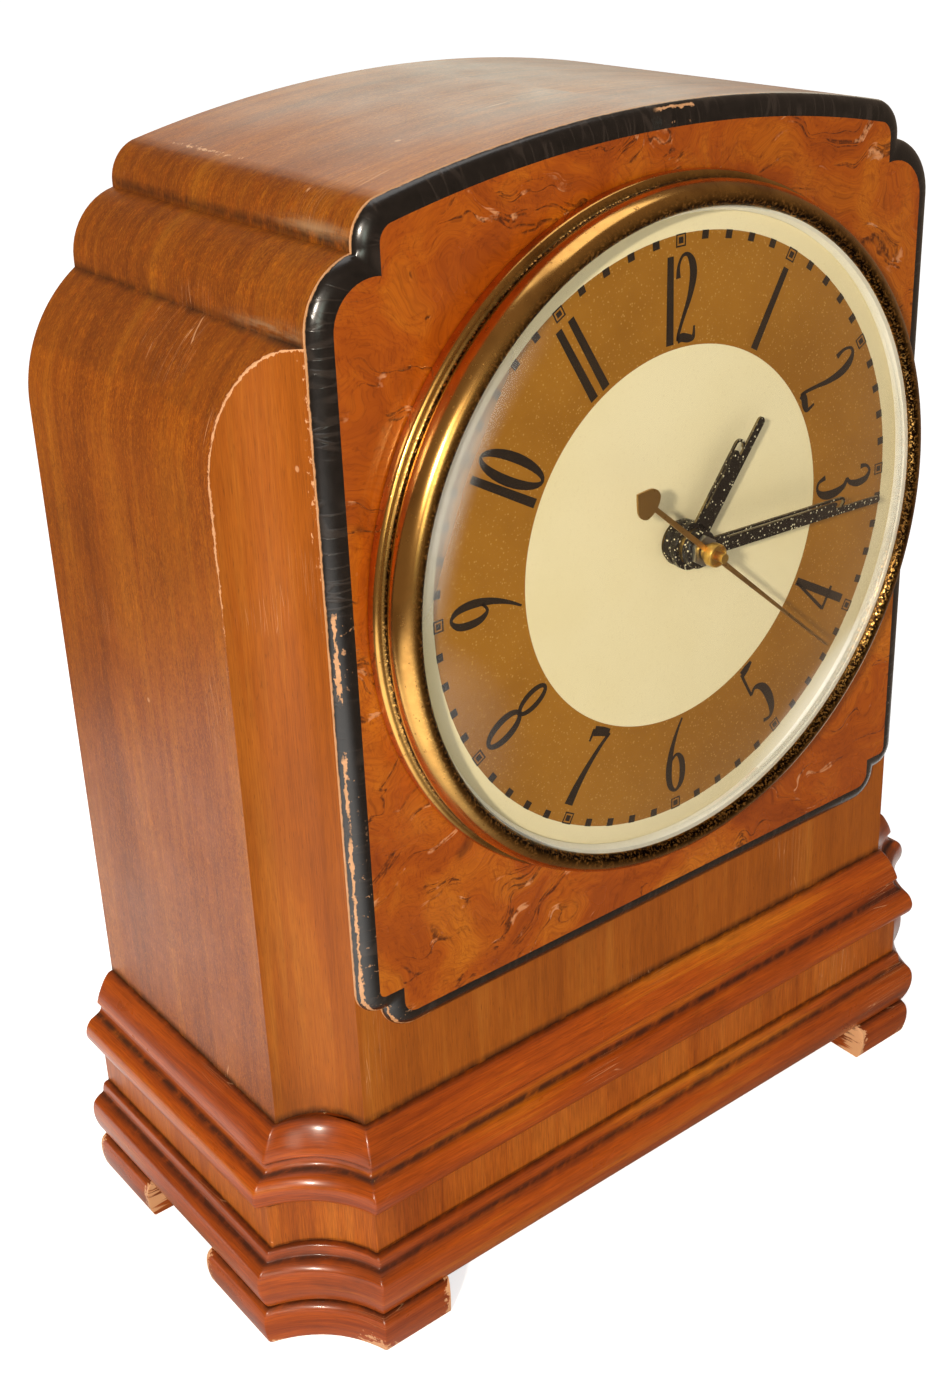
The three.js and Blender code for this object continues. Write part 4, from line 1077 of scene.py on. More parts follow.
@dataclass(frozen=True)
class CaseForm:
    """Sizes of the case that several pieces share, and the outlines drawn from them."""

    half_width: float = 89.0
    front_half: float = 75.9
    notch_half: float = 65.9
    depth: float = 79.5
    foot: float = 51.0
    crown: float = 236.0
    arch: float = 276.0
    upper_round: float = 7.5
    upper_proud: float = 0.03
    lower_round: float = 12.5
    lower_step: float = 13.2
    shoulder: float = 29.4
    shoulder_step: float = 25.9
    scoop_length: float = 11.7
    scoop_hollow: float = 3.6
    base_hollow: float = 3.1
    softness: float = 0.45
    dial_drop: float = 80.6
    opening: float = 61.3

    @property
    def arch_z(self) -> float:
        """Height of the arch's centre."""
        return self.crown - self.arch

    @property
    def upper(self) -> Pair:
        """Centre of the upper round."""
        x = self.notch_half - self.upper_round
        reach = self.arch - self.upper_round + self.upper_proud
        return x, self.arch_z + math.sqrt(reach ** 2 - x ** 2)

    @property
    def lower(self) -> Pair:
        """Centre of the lower round."""
        return self.front_half - self.lower_round, self.upper[1] - self.lower_step

    @property
    def shoulder_centre(self) -> Pair:
        """Centre of the shoulder."""
        return self.half_width - self.shoulder, self.lower[1] - self.shoulder_step

    @property
    def dial_z(self) -> float:
        """Height of the dial's centre."""
        return self.crown - self.dial_drop

    def top(self, inset: float) -> list[list[Pair]]:
        """The right half of the stepped top, set in.

        Args:
            inset: How far the outline is set in.

        Returns:
            Its arch, upper round and lower round, each a row of points from the middle outward.
        """
        (ux, uz), (lx, lz) = self.upper, self.lower
        arch, upper, lower = self.arch - inset, self.upper_round - inset, self.lower_round - inset
        fall = self.arch_z - uz
        reach = math.hypot(ux, fall)
        share = (reach ** 2 + upper ** 2 - arch ** 2) / (2 * reach * upper)
        start = math.atan2(fall, -ux) + math.acos(share)
        meet = math.acos((ux + upper * math.cos(start)) / arch)
        drop = math.acos(min(1.0, (ux + upper - lx) / lower))
        return [
            arc(0, self.arch_z, arch, QUARTER, meet, ARCH_STEPS),
            arc(ux, uz, upper, start, 0, ROUND_STEPS),
            arc(lx, lz, lower, drop, 0, ROUND_STEPS),
        ]

    def scoop_y(self, x: float) -> float:
        """Find the depth of the scooped corner by halving.

        Args:
            x: A place across the case.

        Returns:
            The depth there.
        """
        side, front = (self.half_width, self.scoop_length), (self.front_half, 0.0)
        low, high = 0.0, 1.0
        for _ in range(40):
            share = (low + high) / 2
            point = bowed(side, front, -self.scoop_hollow, share)
            if point[0] > x:
                low = share
            else:
                high = share
        return point[1]

    def scoop_ends(self, offset: float) -> tuple[Pair, Pair]:
        """Where the base's left scoop starts at the side and ends at the front, that far off the case."""
        side = (-(self.half_width + offset), self.scoop_length - 0.3 * offset)
        return side, (-(self.front_half + 0.5 * offset), -offset)

    def plan(self, offset: float) -> list[Pair]:
        """Plan of the base from the back of the left side to the back of the right side.

        Args:
            offset: How far it stands out from the case.

        Returns:
            Its points, X and Y, with each arris of the scoops slightly rounded.
        """
        side, front = self.scoop_ends(offset)
        scoop = [bowed(side, front, self.base_hollow, i / SCOOP_STEPS) for i in range(SCOOP_STEPS + 1)]
        run = line((side[0], self.depth), side, 8)
        face = line(front, (0.0, front[1]), 8)
        left = softened([run, scoop, face], self.softness)
        return [*left, *[(-x, y) for x, y in reversed(left[:-1])]]


def softened(rows: Sequence[Sequence[Pair]], reach: float) -> list[Pair]:
    """Join rows of points that share their ends, with a small rounding in place of each corner.

    Args:
        rows: The rows, each ending where the next begins.
        reach: How far along both sides a rounding goes.

    Returns:
        One row of points.
    """
    points = [list(row) for row in rows]
    joined: list[Pair] = list(points[0][:-1])
    for before, after in zip(points, points[1:]):
        corner = before[-1]
        ends = []
        for near in (before[-2], after[1]):
            share = reach / math.dist(corner, near)
            ends.append(tuple(corner[k] + (near[k] - corner[k]) * share for k in (0, 1)))
        middle = tuple((ends[0][k] + ends[1][k]) / 4 + corner[k] / 2 for k in (0, 1))
        joined += [ends[0], middle, ends[1], *after[1:-1]]
    joined.append(points[-1][-1])
    return joined


@dataclass
class Hood:
    """The veneered shell: stepped arched top, straight sides, scooped front corners."""

    form: CaseForm
    shop: Shop
    wall: float = 9.0
    front_wall: float = 12.0
    inner_bend: float = 0.86
    inner_out: float = 10.0
    inner_down: float = 14.0
    across: int = 16
    crowding: float = 1.5
    drops: int = 26
    skirt: float = 2.0
    arris: float = 0.8
    rub_below: float = 50.0
    rub_rise: float = 45.0
    rub_least: float = 0.3
    rub_more: float = 0.95
    grime: float = 0.95
    foot_grime: float = 0.9
    hollow_grime: float = 1.7
    step_darkening: float = 0.34
    step_darkening_rows: int = 12
    dust: float = 0.8
    dust_above: float = 1.6
    dust_back: Pair = (9.0, 10.0)
    ridge_wear: float = 0.95
    ridge_back: Pair = (56.0, 20.0)
    other_side: float = 200.0

    def rubbed(self, z: float) -> float:
        """How far the outer arris is rubbed at a height: bare along its upper curve, hardly below."""
        share = min(1.0, max(0.0, (z - self.form.shoulder_centre[1] + self.rub_below) / self.rub_rise))
        return self.rub_least + self.rub_more * share * share * (3 - 2 * share)

    def low(self, z: float) -> float:
        """Grime along the base at a height."""
        return fading(z - self.form.foot, self.foot_grime) * self.grime

    def levels(self, top: float) -> list[float]:
        """List the heights of the rows from a place on the outline down to the base.

        Args:
            top: The place's height.

        Returns:
            The heights, the second just below the arris.
        """
        low = self.form.foot + self.skirt
        rows = [top + (low - top) * k / self.drops for k in range(self.drops + 1)]
        return [top, top - self.arris, *rows[1:], self.form.foot]

    def half(self) -> tuple[list[Pair], int]:
        """Draw the right half of the outline.

        Returns:
            Its points from the top down, and the index where its shoulder begins.
        """
        form = self.form
        arch, upper, lower = form.top(0)
        cx, cz = form.shoulder_centre
        start = math.acos((form.front_half - cx) / form.shoulder)
        shoulder = arc(cx, cz, form.shoulder, start, 0, SHOULDER_STEPS)
        side = [(form.half_width, z) for z in self.levels(cz)]
        top = [*arch[:-1], *upper, *lower]
        return [*top, *shoulder, *side[1:]], len(top)

    def inside(self, outer: Sequence[Pair], shoulder_at: int) -> list[Pair]:
        """The cavity's outline, one point for each of the outer one's.

        Args:
            outer: The right half of the outer outline.
            shoulder_at: Where its shoulder begins.

        Returns:
            The right half of the cavity's outline.
        """
        form = self.form
        cx, cz = form.shoulder_centre
        radius = form.arch - self.wall
        made: list[Pair] = []
        for i, (x, z) in enumerate(outer):
            if i < shoulder_at:
                share = x / form.front_half
                bend = max(0.0, share - self.inner_bend) / (1 - self.inner_bend)
                across = share * (form.notch_half - self.wall + self.inner_out * bend)
                fall = self.inner_down * bend
                made.append((across, form.arch_z + math.sqrt(radius ** 2 - across ** 2) - fall))
            elif z > cz:
                angle = math.atan2(z - cz, x - cx)
                reach = form.shoulder - self.wall
                made.append((cx + reach * math.cos(angle), cz + reach * math.sin(angle)))
            else:
                made.append((form.half_width - self.wall, z))
        return made

    def skin(self) -> Skin:
        """Build the shell, with grime in the hollows of its top and wear on its arrises.

        Returns:
            The skin.
        """
        form, skin = self.form, Skin()
        half, shoulder_at = self.half()
        run = lengths(half)
        hollows = [run[ARCH_STEPS + ROUND_STEPS], run[shoulder_at]]
        ridge, sides = run[ARCH_STEPS - 1], run[shoulder_at + self.step_darkening_rows]
        for hand in (-1, 1):
            rows = []
            for i, (x, z) in enumerate(half):
                s = run[i]
                front = form.scoop_y(x) if i > shoulder_at else 0.0
                rubbed = self.rubbed(z) if i > shoulder_at else 0.5
                grime = max(bell(s - c, self.hollow_grime) for c in hollows)
                dust = self.dust * max(bell(s - c + self.dust_above, 1.0) for c in hollows)
                # Patchy darkening from the first step on, ramping in over 3 mm, and half as strong past the
                # first rows of the shoulder.
                step_darkening = self.step_darkening * min(1.0, max(0.0, (s - ridge) / 3)) * (1.0 if s < sides else 0.5)
                row: list[Corner] = []
                for j in range(self.across + 1):
                    y = front + (form.depth - front) * (j / self.across) ** self.crowding
                    worn = fading(y - front, 0.5) * rubbed
                    along = bell(y - self.ridge_back[0], self.ridge_back[1])
                    rub = self.ridge_wear * bell(s - ridge, 0.6) * along
                    grimy = max(grime * (0.75 + 0.25 * fading(y, 14)), self.low(z), step_darkening)
                    dusty = dust * bell(y - self.dust_back[0], self.dust_back[1])
                    row.append(Corner(
                        (hand * x, y, z), (s * hand, y + self.other_side * hand),
                        (max(worn, rub), grimy, dusty)))
                rows.append(row)
            skin.grid(rows)
            self.scoop(skin, half[shoulder_at:], hand)
        self.faces(skin, half, self.inside(half, shoulder_at), shoulder_at)
        return skin

    def scoop(self, skin: Skin, shoulder: Sequence[Pair], hand: int) -> None:
        """Add one scooped corner, ruled from the base up to the shoulder's arris.

        Args:
            skin: The skin to add to.
            shoulder: The outline from the shoulder's start to the foot of the side.
            hand: -1 for the left, 1 for the right.
        """
        form, reach = self.form, 0.4
        columns = []
        for x, z in shoulder[:SHOULDER_STEPS + 1]:
            y = form.scoop_y(x)
            inner, outer = fading(abs(x - form.front_half), reach), fading(abs(form.half_width - x), reach)
            columns.append([
                Corner(
                    (hand * x, y, up), (up, (x + y + 40) * hand),
                    (max(fading(z - up, reach), outer, 0.6 * inner) * self.rubbed(up), self.low(up), 0))
                for up in self.levels(z)
            ])
        for k, x, y in ((0, form.front_half, 0.0), (-1, form.half_width, form.scoop_length)):
            columns[k] = [Corner((hand * x, y, c.spot[2]), c.grain, c.state) for c in columns[k]]
        skin.grid(columns, 1)

    def faces(self, skin: Skin, half: Sequence[Pair], inner: Sequence[Pair], shoulder_at: int) -> None:
        """Add the front, the dial's opening, the cavity and the back rim.

        Args:
            skin: The skin to add to.
            half: The right half of the outer outline.
            inner: The right half of the cavity's outline.
            shoulder_at: Where the shoulder begins on them.
        """
        form = self.form
        start = half[shoulder_at]
        edge = [*half[:shoulder_at + 1], *[(form.front_half, z) for z in self.levels(start[1])[1:-1]]]
        closed_round(skin, edge, 0.0, form, 1)
        across = [x for x, _ in line((form.front_half, 0), (-form.front_half, 0), 40)]
        skin.grid([
            [Corner((x, 0.0, z), (z, x), (0.0, grime, 0.0)) for x in across]
            for z, grime in ((form.foot + self.skirt, 0.0), (form.foot, self.grime))
        ], 1)
        closed_round(skin, inner, self.front_wall, form, 2)
        hole_wall(skin, 0.0, self.front_wall, form, 2)
        both = [*[(-x, z) for x, z in reversed(inner)], *inner[1:]]
        outer = [*[(-x, z) for x, z in reversed(half)], *half[1:]]
        skin.grid([[Corner((x, y, z), (z, y)) for x, z in both] for y in (self.front_wall, form.depth)], 2)
        skin.grid([[Corner((x, form.depth, z), (z, x)) for x, z in row] for row in (outer, both)], 2)

    def build(self) -> None:
        """Build the hood and dress it."""
        mesh = self.skin().mesh("hood_shell")
        finishes = [self.shop.case, self.shop.scoop, self.shop.softwood]
        shown("hood_shell", mesh, "case", finishes, ["case_hood"], self.form.softness)


def loop_round(half: Sequence[Pair]) -> list[Pair]:
    """Close the right half of an outline round its foot and up its mirrored left half."""
    bottom = line(half[-1], (-half[-1][0], half[-1][1]), 40)
    return [*half, *bottom[1:], *[(-x, z) for x, z in reversed(half[1:-1])]]


def closed_round(
    skin: Skin, half: Sequence[Pair], y: float, form: CaseForm, finish: int, upright: bool = True,
) -> None:
    """Add a flat face between an outline and the dial's opening.

    Args:
        skin: The skin to add to.
        half: The right half of the outline, from the middle of the top to its foot.
        y: The face's depth.
        form: The case's sizes.
        finish: The index of its material.
        upright: Whether the grain runs up rather than across.
    """
    def order(point: Pair) -> float:
        """A point's angle about the dial's centre."""
        return math.atan2(point[1] - form.dial_z, point[0])

    def corner(point: Pair) -> Corner:
        """The corner at a point, with its grain."""
        return Corner((point[0], y, point[1]), (point[1], point[0]) if upright else point)

    outer = sorted(loop_round(half), key=order)
    hole = arc(0, form.dial_z, form.opening, -math.pi, math.pi, HOLE_SIDES)[:-1]
    rims = [[corner(p) for p in row] for row in (outer, hole)]
    verts = [[skin.bm.verts.new(place(*c.spot)) for c in rim] for rim in rims]
    angles = [[order(p) for p in outer], [-math.pi + TURN * k / HOLE_SIDES for k in range(HOLE_SIDES)]]
    at = [0, 0]
    while at[0] < len(outer) or at[1] < HOLE_SIDES:
        ahead = []
        for side in (0, 1):
            count, step = len(rims[side]), at[side] + 1
            over = TURN if step >= count else 0.0
            ahead.append(math.inf if step > count else angles[side][step % count] + over)
        side = 0 if ahead[0] <= ahead[1] else 1
        other = 1 - side
        count, far = len(rims[side]), len(rims[other])
        picks = [(side, at[side] % count), (side, (at[side] + 1) % count), (other, at[other] % far)]
        skin.face([verts[a][b] for a, b in picks], [rims[a][b] for a, b in picks], finish)
        at[side] += 1


def hole_wall(skin: Skin, y0: float, y1: float, form: CaseForm, finish: int) -> None:
    """Add the wall of the dial's opening between two depths."""
    hole = arc(0, form.dial_z, form.opening, -math.pi, math.pi, HOLE_SIDES)[:-1]
    skin.grid([[Corner((x, y, z), (z, x)) for x, z in hole] for y in (y0, y1)], finish, closed=True)


@dataclass
class Panel:
    """The raised front panel: a black rounded edge round a burl veneer."""

    form: CaseForm
    shop: Shop
    proud: float = 2.7
    veneer: float = 0.6
    bevel: float = 4.1
    lift: float = 19.2
    side_corner: float = 5.5
    foot_corner: float = 7.0
    corner_step: float = 6.3
    edge_steps: int = 9
    chips: tuple[Triple, ...] = (
        (-76, 153, 9), (-76, 128, 6), (-76, 106, 11), (-76, 88, 14), (-71, 74, 10), (4, 236, 5), (72, 96, 3))

    def outline(self, inset: float) -> list[Pair]:
        """Draw the right half of the panel's outline.

        Args:
            inset: How far it is set in.

        Returns:
            Its points from the middle of the top to its foot.
        """
        form = self.form
        base = form.foot + self.lift
        side_z = base + self.corner_step + self.side_corner
        side_x = form.front_half - self.side_corner
        foot_x, foot_z = side_x - self.foot_corner, base + self.foot_corner
        arch, upper, lower = form.top(inset)
        return [
            *arch[:-1], *upper, *lower,
            *line(lower[-1], (form.front_half - inset, side_z), 60)[1:-1],
            *arc(side_x, side_z, self.side_corner - inset, 0, -QUARTER, 8),
            (side_x - inset, side_z - self.side_corner + inset),
            *arc(foot_x, foot_z, self.foot_corner - inset, 0, -QUARTER, 8),
        ]

    def chipped(self, x: float, z: float) -> float:
        """How likely the black is to have chipped off at a place, from 0 to 1."""
        return min(1.0, sum(bell(math.dist((x, z), (cx, cz)), reach) for cx, cz, reach in self.chips))

    def edge(self) -> Skin:
        """Build the black edge and the board behind the veneer.

        Returns:
            The skin.
        """
        skin = Skin()
        loops, ring = [], []
        for k in range(self.edge_steps + 1):
            angle = QUARTER * k / self.edge_steps
            inset = self.bevel * (1 - math.cos(angle))
            loops.append((inset, -self.proud * math.sin(angle), loop_round(self.outline(inset))))
        outer = loops[0][2]
        run = lengths([*outer, outer[0]])
        for k, (inset, y, loop) in enumerate(loops):
            share = k / self.edge_steps
            ring.append([
                Corner((x, y, z), (run[i], 7 * share), (share, self.chipped(x, z), 1.0 if x < 30 else 0.45))
                for i, (x, z) in enumerate(loop)
            ])
        skin.grid(ring, 0, closed=True)
        seat = self.veneer - self.proud
        inner = loops[-1][2]
        skin.grid([
            [Corner((x, y, z), (x, z), (0.9, 0, 0)) for x, z in inner] for y in (-self.proud, seat)
        ], 0, closed=True)
        closed_round(skin, self.outline(self.bevel), seat, self.form, 0)
        closed_round(skin, self.outline(0.0), 0.0, self.form, 0)
        hole_wall(skin, seat, 0.0, self.form, 0)
        return skin

    def leaf(self) -> Skin:
        """Build the burl veneer.

        Returns:
            The skin.
        """
        skin, half = Skin(), self.outline(self.bevel)
        depths = (-self.proud, self.veneer - self.proud)
        for y in depths:
            closed_round(skin, half, y, self.form, 0, upright=False)
        loop = loop_round(half)
        skin.grid([[Corner((x, y, z), (x, z)) for x, z in loop] for y in depths], 0, closed=True)
        hole_wall(skin, *depths, self.form, 0)
        return skin

    def build(self) -> None:
        """Build the edge and the veneer and dress them."""
        edge, leaf = self.edge().mesh("panel_edge", 60), self.leaf().mesh("burl_leaf")
        shown("panel_edge", edge, "case", [self.shop.ebonised], ["front_panel"])
        shown("burl_leaf", leaf, "case", [self.shop.burl], ["burl_veneer"])


# Base


@dataclass
class BaseMoulds:
    """The stacked mouldings that run round the sides and the front of the base."""

    form: CaseForm
    shop: Shop
    core_half: float = 80.0
    core_front: float = 8.0
    arrises: tuple[Pair, ...] = ((-94.0, 10.0), (-79.0, -6.0), (94.0, 10.0), (79.0, -6.0))
    wear: float = 0.55
    grime: float = 0.85
    upper: tuple[Triple, ...] = (
        (0.2, 51.0, 0.95), (0.9, 50.8, 0.5), (1.4, 50.4, 0.1), (2.2, 49.5, 0), (3.1, 48.0, 0),
        (3.9, 46.4, 0), (4.4, 45.1, 0), (4.6, 44.4, 0), (4.5, 44.1, 0.3), (4.0, 43.9, 0.95),
        (3.8, 43.6, 0.8), (3.85, 43.1, 0.2), (4.0, 42.5, 0.1), (4.3, 42.0, 0.4), (4.7, 41.7, 1.0),
        (5.3, 41.4, 0.95), (6.0, 41.1, 0.2), (6.7, 40.8, 0), (7.3, 40.2, 0), (7.8, 39.4, 0),
        (8.2, 38.1, 0), (8.2, 37.0, 0), (7.9, 36.0, 0), (7.4, 35.4, 0), (6.8, 35.1, 0.2),
        (5.8, 34.9, 0.6), (5.2, 34.5, 0.8), (4.75, 33.9, 1.0), (4.7, 33.5, 1.0),
    )
    lower: tuple[Triple, ...] = (
        (4.9, 23.0, 1.0), (5.6, 22.8, 0.5), (6.0, 22.4, 0.1), (6.3, 21.2, 0.2), (6.4, 20.6, 0.8),
        (6.9, 20.3, 1.0), (7.6, 20.0, 0.5), (8.4, 19.4, 0.1), (9.0, 18.6, 0), (9.28, 17.5, 0),
        (9.36, 16.4, 0), (9.28, 15.0, 0), (9.0, 13.5, 0), (8.5, 11.9, 0), (7.9, 10.5, 0),
        (7.5, 9.8, 0.2), (7.0, 9.3, 0.7), (6.6, 9.0, 1.0),
    )
    strip: tuple[Triple, ...] = (
        (4.7, 33.5, 0.9), (4.7, 32.9, 0.15), (4.7, 24.2, 0.1), (4.7, 23.5, 0.5), (4.7, 23.0, 1.0))

    def inner(self, point: Pair) -> Pair:
        """The point on the core behind a point of the plan."""
        x, y = point
        return max(-self.core_half, min(self.core_half, x * 1.3)), max(self.core_front, y)

    def run(self, profile: Sequence[Triple], upright: bool) -> Skin:
        """Run a profile round the base.

        Args:
            profile: How far it stands out, its height and its grime, from its top down.
            upright: Whether the grain runs up rather than along.

        Returns:
            The skin.
        """
        skin = Skin()
        fine = smoothed(profile, 3)
        drop = lengths([(p[0], p[1]) for p in fine])
        rows = []
        for (offset, z, grime), down in zip(fine, drop):
            plan = self.form.plan(offset)
            row = []
            for (x, y), along in zip(plan, lengths(plan)):
                worn = self.wear * fading(min(math.dist((x, y), a) for a in self.arrises), 2.5)
                grain = (down, along) if upright else (along, down)
                row.append(Corner((x, y, z), grain, (worn, grime * self.grime, 0.0)))
            rows.append(row)
        skin.grid(rows)
        for row, z in ((rows[0], fine[0][1]), (rows[-1], fine[-1][1])):
            back = [Corner((*self.inner(c.spot[:2]), z), c.grain) for c in row]
            skin.grid([row, back], 0)
        skin.grid([
            [Corner((*self.inner(c.spot[:2]), z), c.grain) for c in rows[0]]
            for z in (fine[0][1], fine[-1][1])
        ])
        return skin

    def build(self) -> None:
        """Build both mouldings and the frieze between them, and dress them."""
        shop = self.shop
        pieces = (
            ("top_moulding", self.upper, shop.moulding, "moulding", "base_top_moulding", False),
            ("frieze_strip", self.strip, shop.frieze, "frieze", "base_frieze", True),
            ("foot_moulding", self.lower, shop.moulding, "moulding", "base_bottom_moulding", False),
        )
        for name, profile, finish, slot, node, upright in pieces:
            mesh = self.run(profile, upright).mesh(name, 50)
            shown(name, mesh, "case", [finish], [node])


@dataclass
class Feet:
    """Four bracket feet: two round the scooped front corners, two short ones at the back."""

    form: CaseForm
    shop: Shop
    height: float = 9.0
    side_reach: float = 32.0
    front_reach: float = 16.5
    back_length: float = 22.0
    set_in: float = 6.0
    edge_wear: float = 1.3
    profile: tuple[Triple, ...] = (
        (7.2, 9.0, 0.9), (7.9, 8.6, 0.4), (8.5, 7.8, 0), (8.8, 6.4, 0), (8.8, 4.6, 0), (8.6, 3.0, 0),
        (8.2, 1.2, 0), (7.9, 0.4, 0.1), (7.5, 0.0, 0.3),
    )

    def path(self, offset: float, back: bool) -> list[Pair]:
        """Draw the plan of a left foot's outer face.

        Args:
            offset: How far it stands out from the case.
            back: Whether the foot stands at the back.

        Returns:
            Its points from the back to the front.
        """
        form = self.form
        (x, _), (front_x, y) = form.scoop_ends(offset)
        if back:
            return line((x, form.depth), (x, form.depth - self.back_length), 6)
        scoop = [
            p for p in form.plan(offset)
            if p[1] < form.scoop_length + 0.2 and p[0] < front_x + form.softness + 0.01
        ]
        end = (front_x + self.front_reach, y)
        return [*line((x, self.side_reach), scoop[0], 6)[:-1], *scoop, *line(scoop[-1], end, 5)[1:]]

    def inner(self, point: Pair, back: bool) -> Pair:
        """Find the point on the foot's inner face behind a point of its plan.

        Args:
            point: The point of the plan.
            back: Whether the foot stands at the back.

        Returns:
            The point behind it.
        """
        x = -(self.form.half_width - self.set_in)
        if back or point[1] > self.set_in:
            return x, point[1]
        return max(x, point[0]), self.set_in

    def foot(self, hand: int, back: bool) -> Skin:
        """Build one foot.

        Args:
            hand: -1 for the left, 1 for the right.
            back: Whether it stands at the back.

        Returns:
            The skin.
        """
        skin = Skin()
        rows, backs = [], []
        fine = smoothed(self.profile, 2)
        drop = lengths([(p[0], p[1]) for p in fine])
        for (offset, z, grime), down in zip(fine, drop):
            plan = self.path(offset, back)
            along = lengths(plan)
            scoop = along[-1] - self.front_reach - 2.0
            row = []
            for (x, y), a in zip(plan, along):
                low, ends = fading(z, self.edge_wear), fading(min(a, along[-1] - a), self.edge_wear)
                scooped = 0.0 if back else 1.5 * fading(z, 5.0) * bell(a - scoop, 6.0)
                worn = max(1.05 * low, 1.15 * ends, scooped)
                row.append(Corner((-hand * x, y, z), (a, down), (worn, grime, 0)))
            rows.append(row)
        for row, z in ((rows[0], self.height), (rows[-1], 0.0)):
            behind = [self.inner((-hand * c.spot[0], c.spot[1]), back) for c in row]
            backs.append([Corner((-hand * x, y, z), c.grain, (0, 0.5, 0)) for (x, y), c in zip(behind, row)])
            skin.grid([row, backs[-1]], 0)
        skin.grid(rows)
        skin.grid(backs, 0)
        return skin

    def build(self) -> None:
        """Build the feet and dress them."""
        for word, back in (("front", False), ("back", True)):
            for side, hand in (("left", -1), ("right", 1)):
                name = f"bracket_{word}_{side}"
                mesh = self.foot(hand, back).mesh(name, 40)
                shown(name, mesh, "case", [self.shop.moulding], [f"foot_{word}_{side}"], 0.7)


# Glazing and dial


@dataclass
class Glazing:
    """The brass bezel, the domed glass and the pale ring behind it."""

    form: CaseForm
    shop: Shop
    segments: int = 160
    sight: float = 63.5
    glass_edge: float = 65.8
    glass_front: float = -10.48
    glass_thickness: float = 1.4
    sag: float = 13.4
    flatness: float = 2.4
    slip: float = 0.3
    seat: float = -2.7
    lip: float = -10.6
    ring_back: float = -7.32
    ring_gap: float = 0.12
    ring_slope: tuple[Pair, ...] = ((62.25, -7.6), (62.55, -8.3))
    bezel: tuple[Triple, ...] = (
        (68.9, -2.7, 0.8), (69.2, -2.9, 0.4), (69.3, -3.4, 0), (69.3, -4.5, 0), (69.1, -5.1, 0),
        (68.7, -5.4, 0.1), (68.1, -5.6, 0.5), (67.75, -6.0, 0.95), (67.7, -6.5, 0.95),
        (67.95, -7.1, 0.3), (68.05, -8.0, 0), (67.95, -9.2, 0), (67.5, -10.4, 0), (66.8, -11.4, 0.05),
        (65.9, -12.0, 0.35), (65.0, -12.2, 0.8), (64.3, -11.95, 1.0), (63.8, -11.4, 1.0),
        (63.55, -10.9, 0.9), (63.5, -10.6, 0.7),
    )

    @property
    def centre(self) -> Pair:
        """Where the dial's axis stands."""
        return 0.0, self.form.dial_z

    @property
    def glass_back(self) -> float:
        """Depth of the back of the glass at its edge."""
        return self.glass_front + self.glass_thickness

    def rim(self) -> Skin:
        """Turn the bezel's beads and lip."""
        inside = [(self.glass_edge + self.slip, y) for y in (self.lip, self.seat)]
        return turned([*smoothed(self.bezel, 3), *inside], self.segments, centre=self.centre)

    def dome(self) -> Skin:
        """Turn the domed glass.

        Returns:
            The skin.
        """
        edge, steps = self.sight - self.slip, 22
        outside = []
        for k in range(steps + 1):
            share = 1 - k / steps
            outside.append((edge * share, self.glass_front - self.sag * (1 - share ** self.flatness)))
        inside = [(r, y + self.glass_thickness) for r, y in reversed(outside)]
        rim = [(self.glass_edge, self.glass_back), (self.glass_edge, self.glass_front)]
        return turned([*rim, *outside, *inside], self.segments, centre=self.centre)

    def ring(self) -> Skin:
        """Turn the ring that holds the glass off the dial and slopes in to it.

        Returns:
            The skin.
        """
        edge, front, back = self.glass_edge, self.glass_back + self.ring_gap, self.ring_back
        profile = [
            (62.95, front), (63.3, front), (edge, front), (edge, back), (62.3, back), *self.ring_slope]
        return turned(profile, self.segments, centre=self.centre)

    def build(self) -> None:
        """Build the three rings and dress them."""
        shop = self.shop
        for name, skin, crisp, finish, slot, node in (
            ("bezel_rim", self.rim(), 70, shop.bezel, "bezel_brass", "bezel"),
            ("glass_dome", self.dome(), 50, shop.glass, "glass", "crystal"),
            ("pale_ring", self.ring(), 40, shop.enamel, "ring_paint", "reflector_ring"),
        ):
            shown(name, skin.mesh(name, crisp), "case", [finish], [node])


def clockwise(form: CaseForm, degrees: float, rise: float = 0.0) -> Move:
    """Give the way to put what is drawn upright at an angle about the dial's centre.

    Args:
        form: The case's sizes.
        degrees: The angle from the top, clockwise.
        rise: How far out from the centre the drawing's own foot is.

    Returns:
        A function that turns a drawn point into a place across and up.
    """
    c, s = math.cos(math.radians(degrees)), math.sin(math.radians(degrees))
    return lambda u, v: (u * c + (v + rise) * s, form.dial_z - u * s + (v + rise) * c)


OVAL_STEPS = 28


def oval(cu: float, cv: float, ru: float, rv: float, side: float, end: float) -> list[Triple]:
    """Draw a pen stroke round an upright oval.

    Args:
        cu: Its centre, across.
        cv: Its centre, up.
        ru: Half of its width.
        rv: Half of its height.
        side: The stroke's width at its sides.
        end: The stroke's width at its top and foot.

    Returns:
        Points across, up and wide.
    """
    made = []
    for k in range(OVAL_STEPS + 1):
        c, s = math.cos(TURN * k / OVAL_STEPS), math.sin(TURN * k / OVAL_STEPS)
        made.append((cu + ru * c, cv + rv * s, end + (side - end) * abs(c) ** 1.5))
    return made


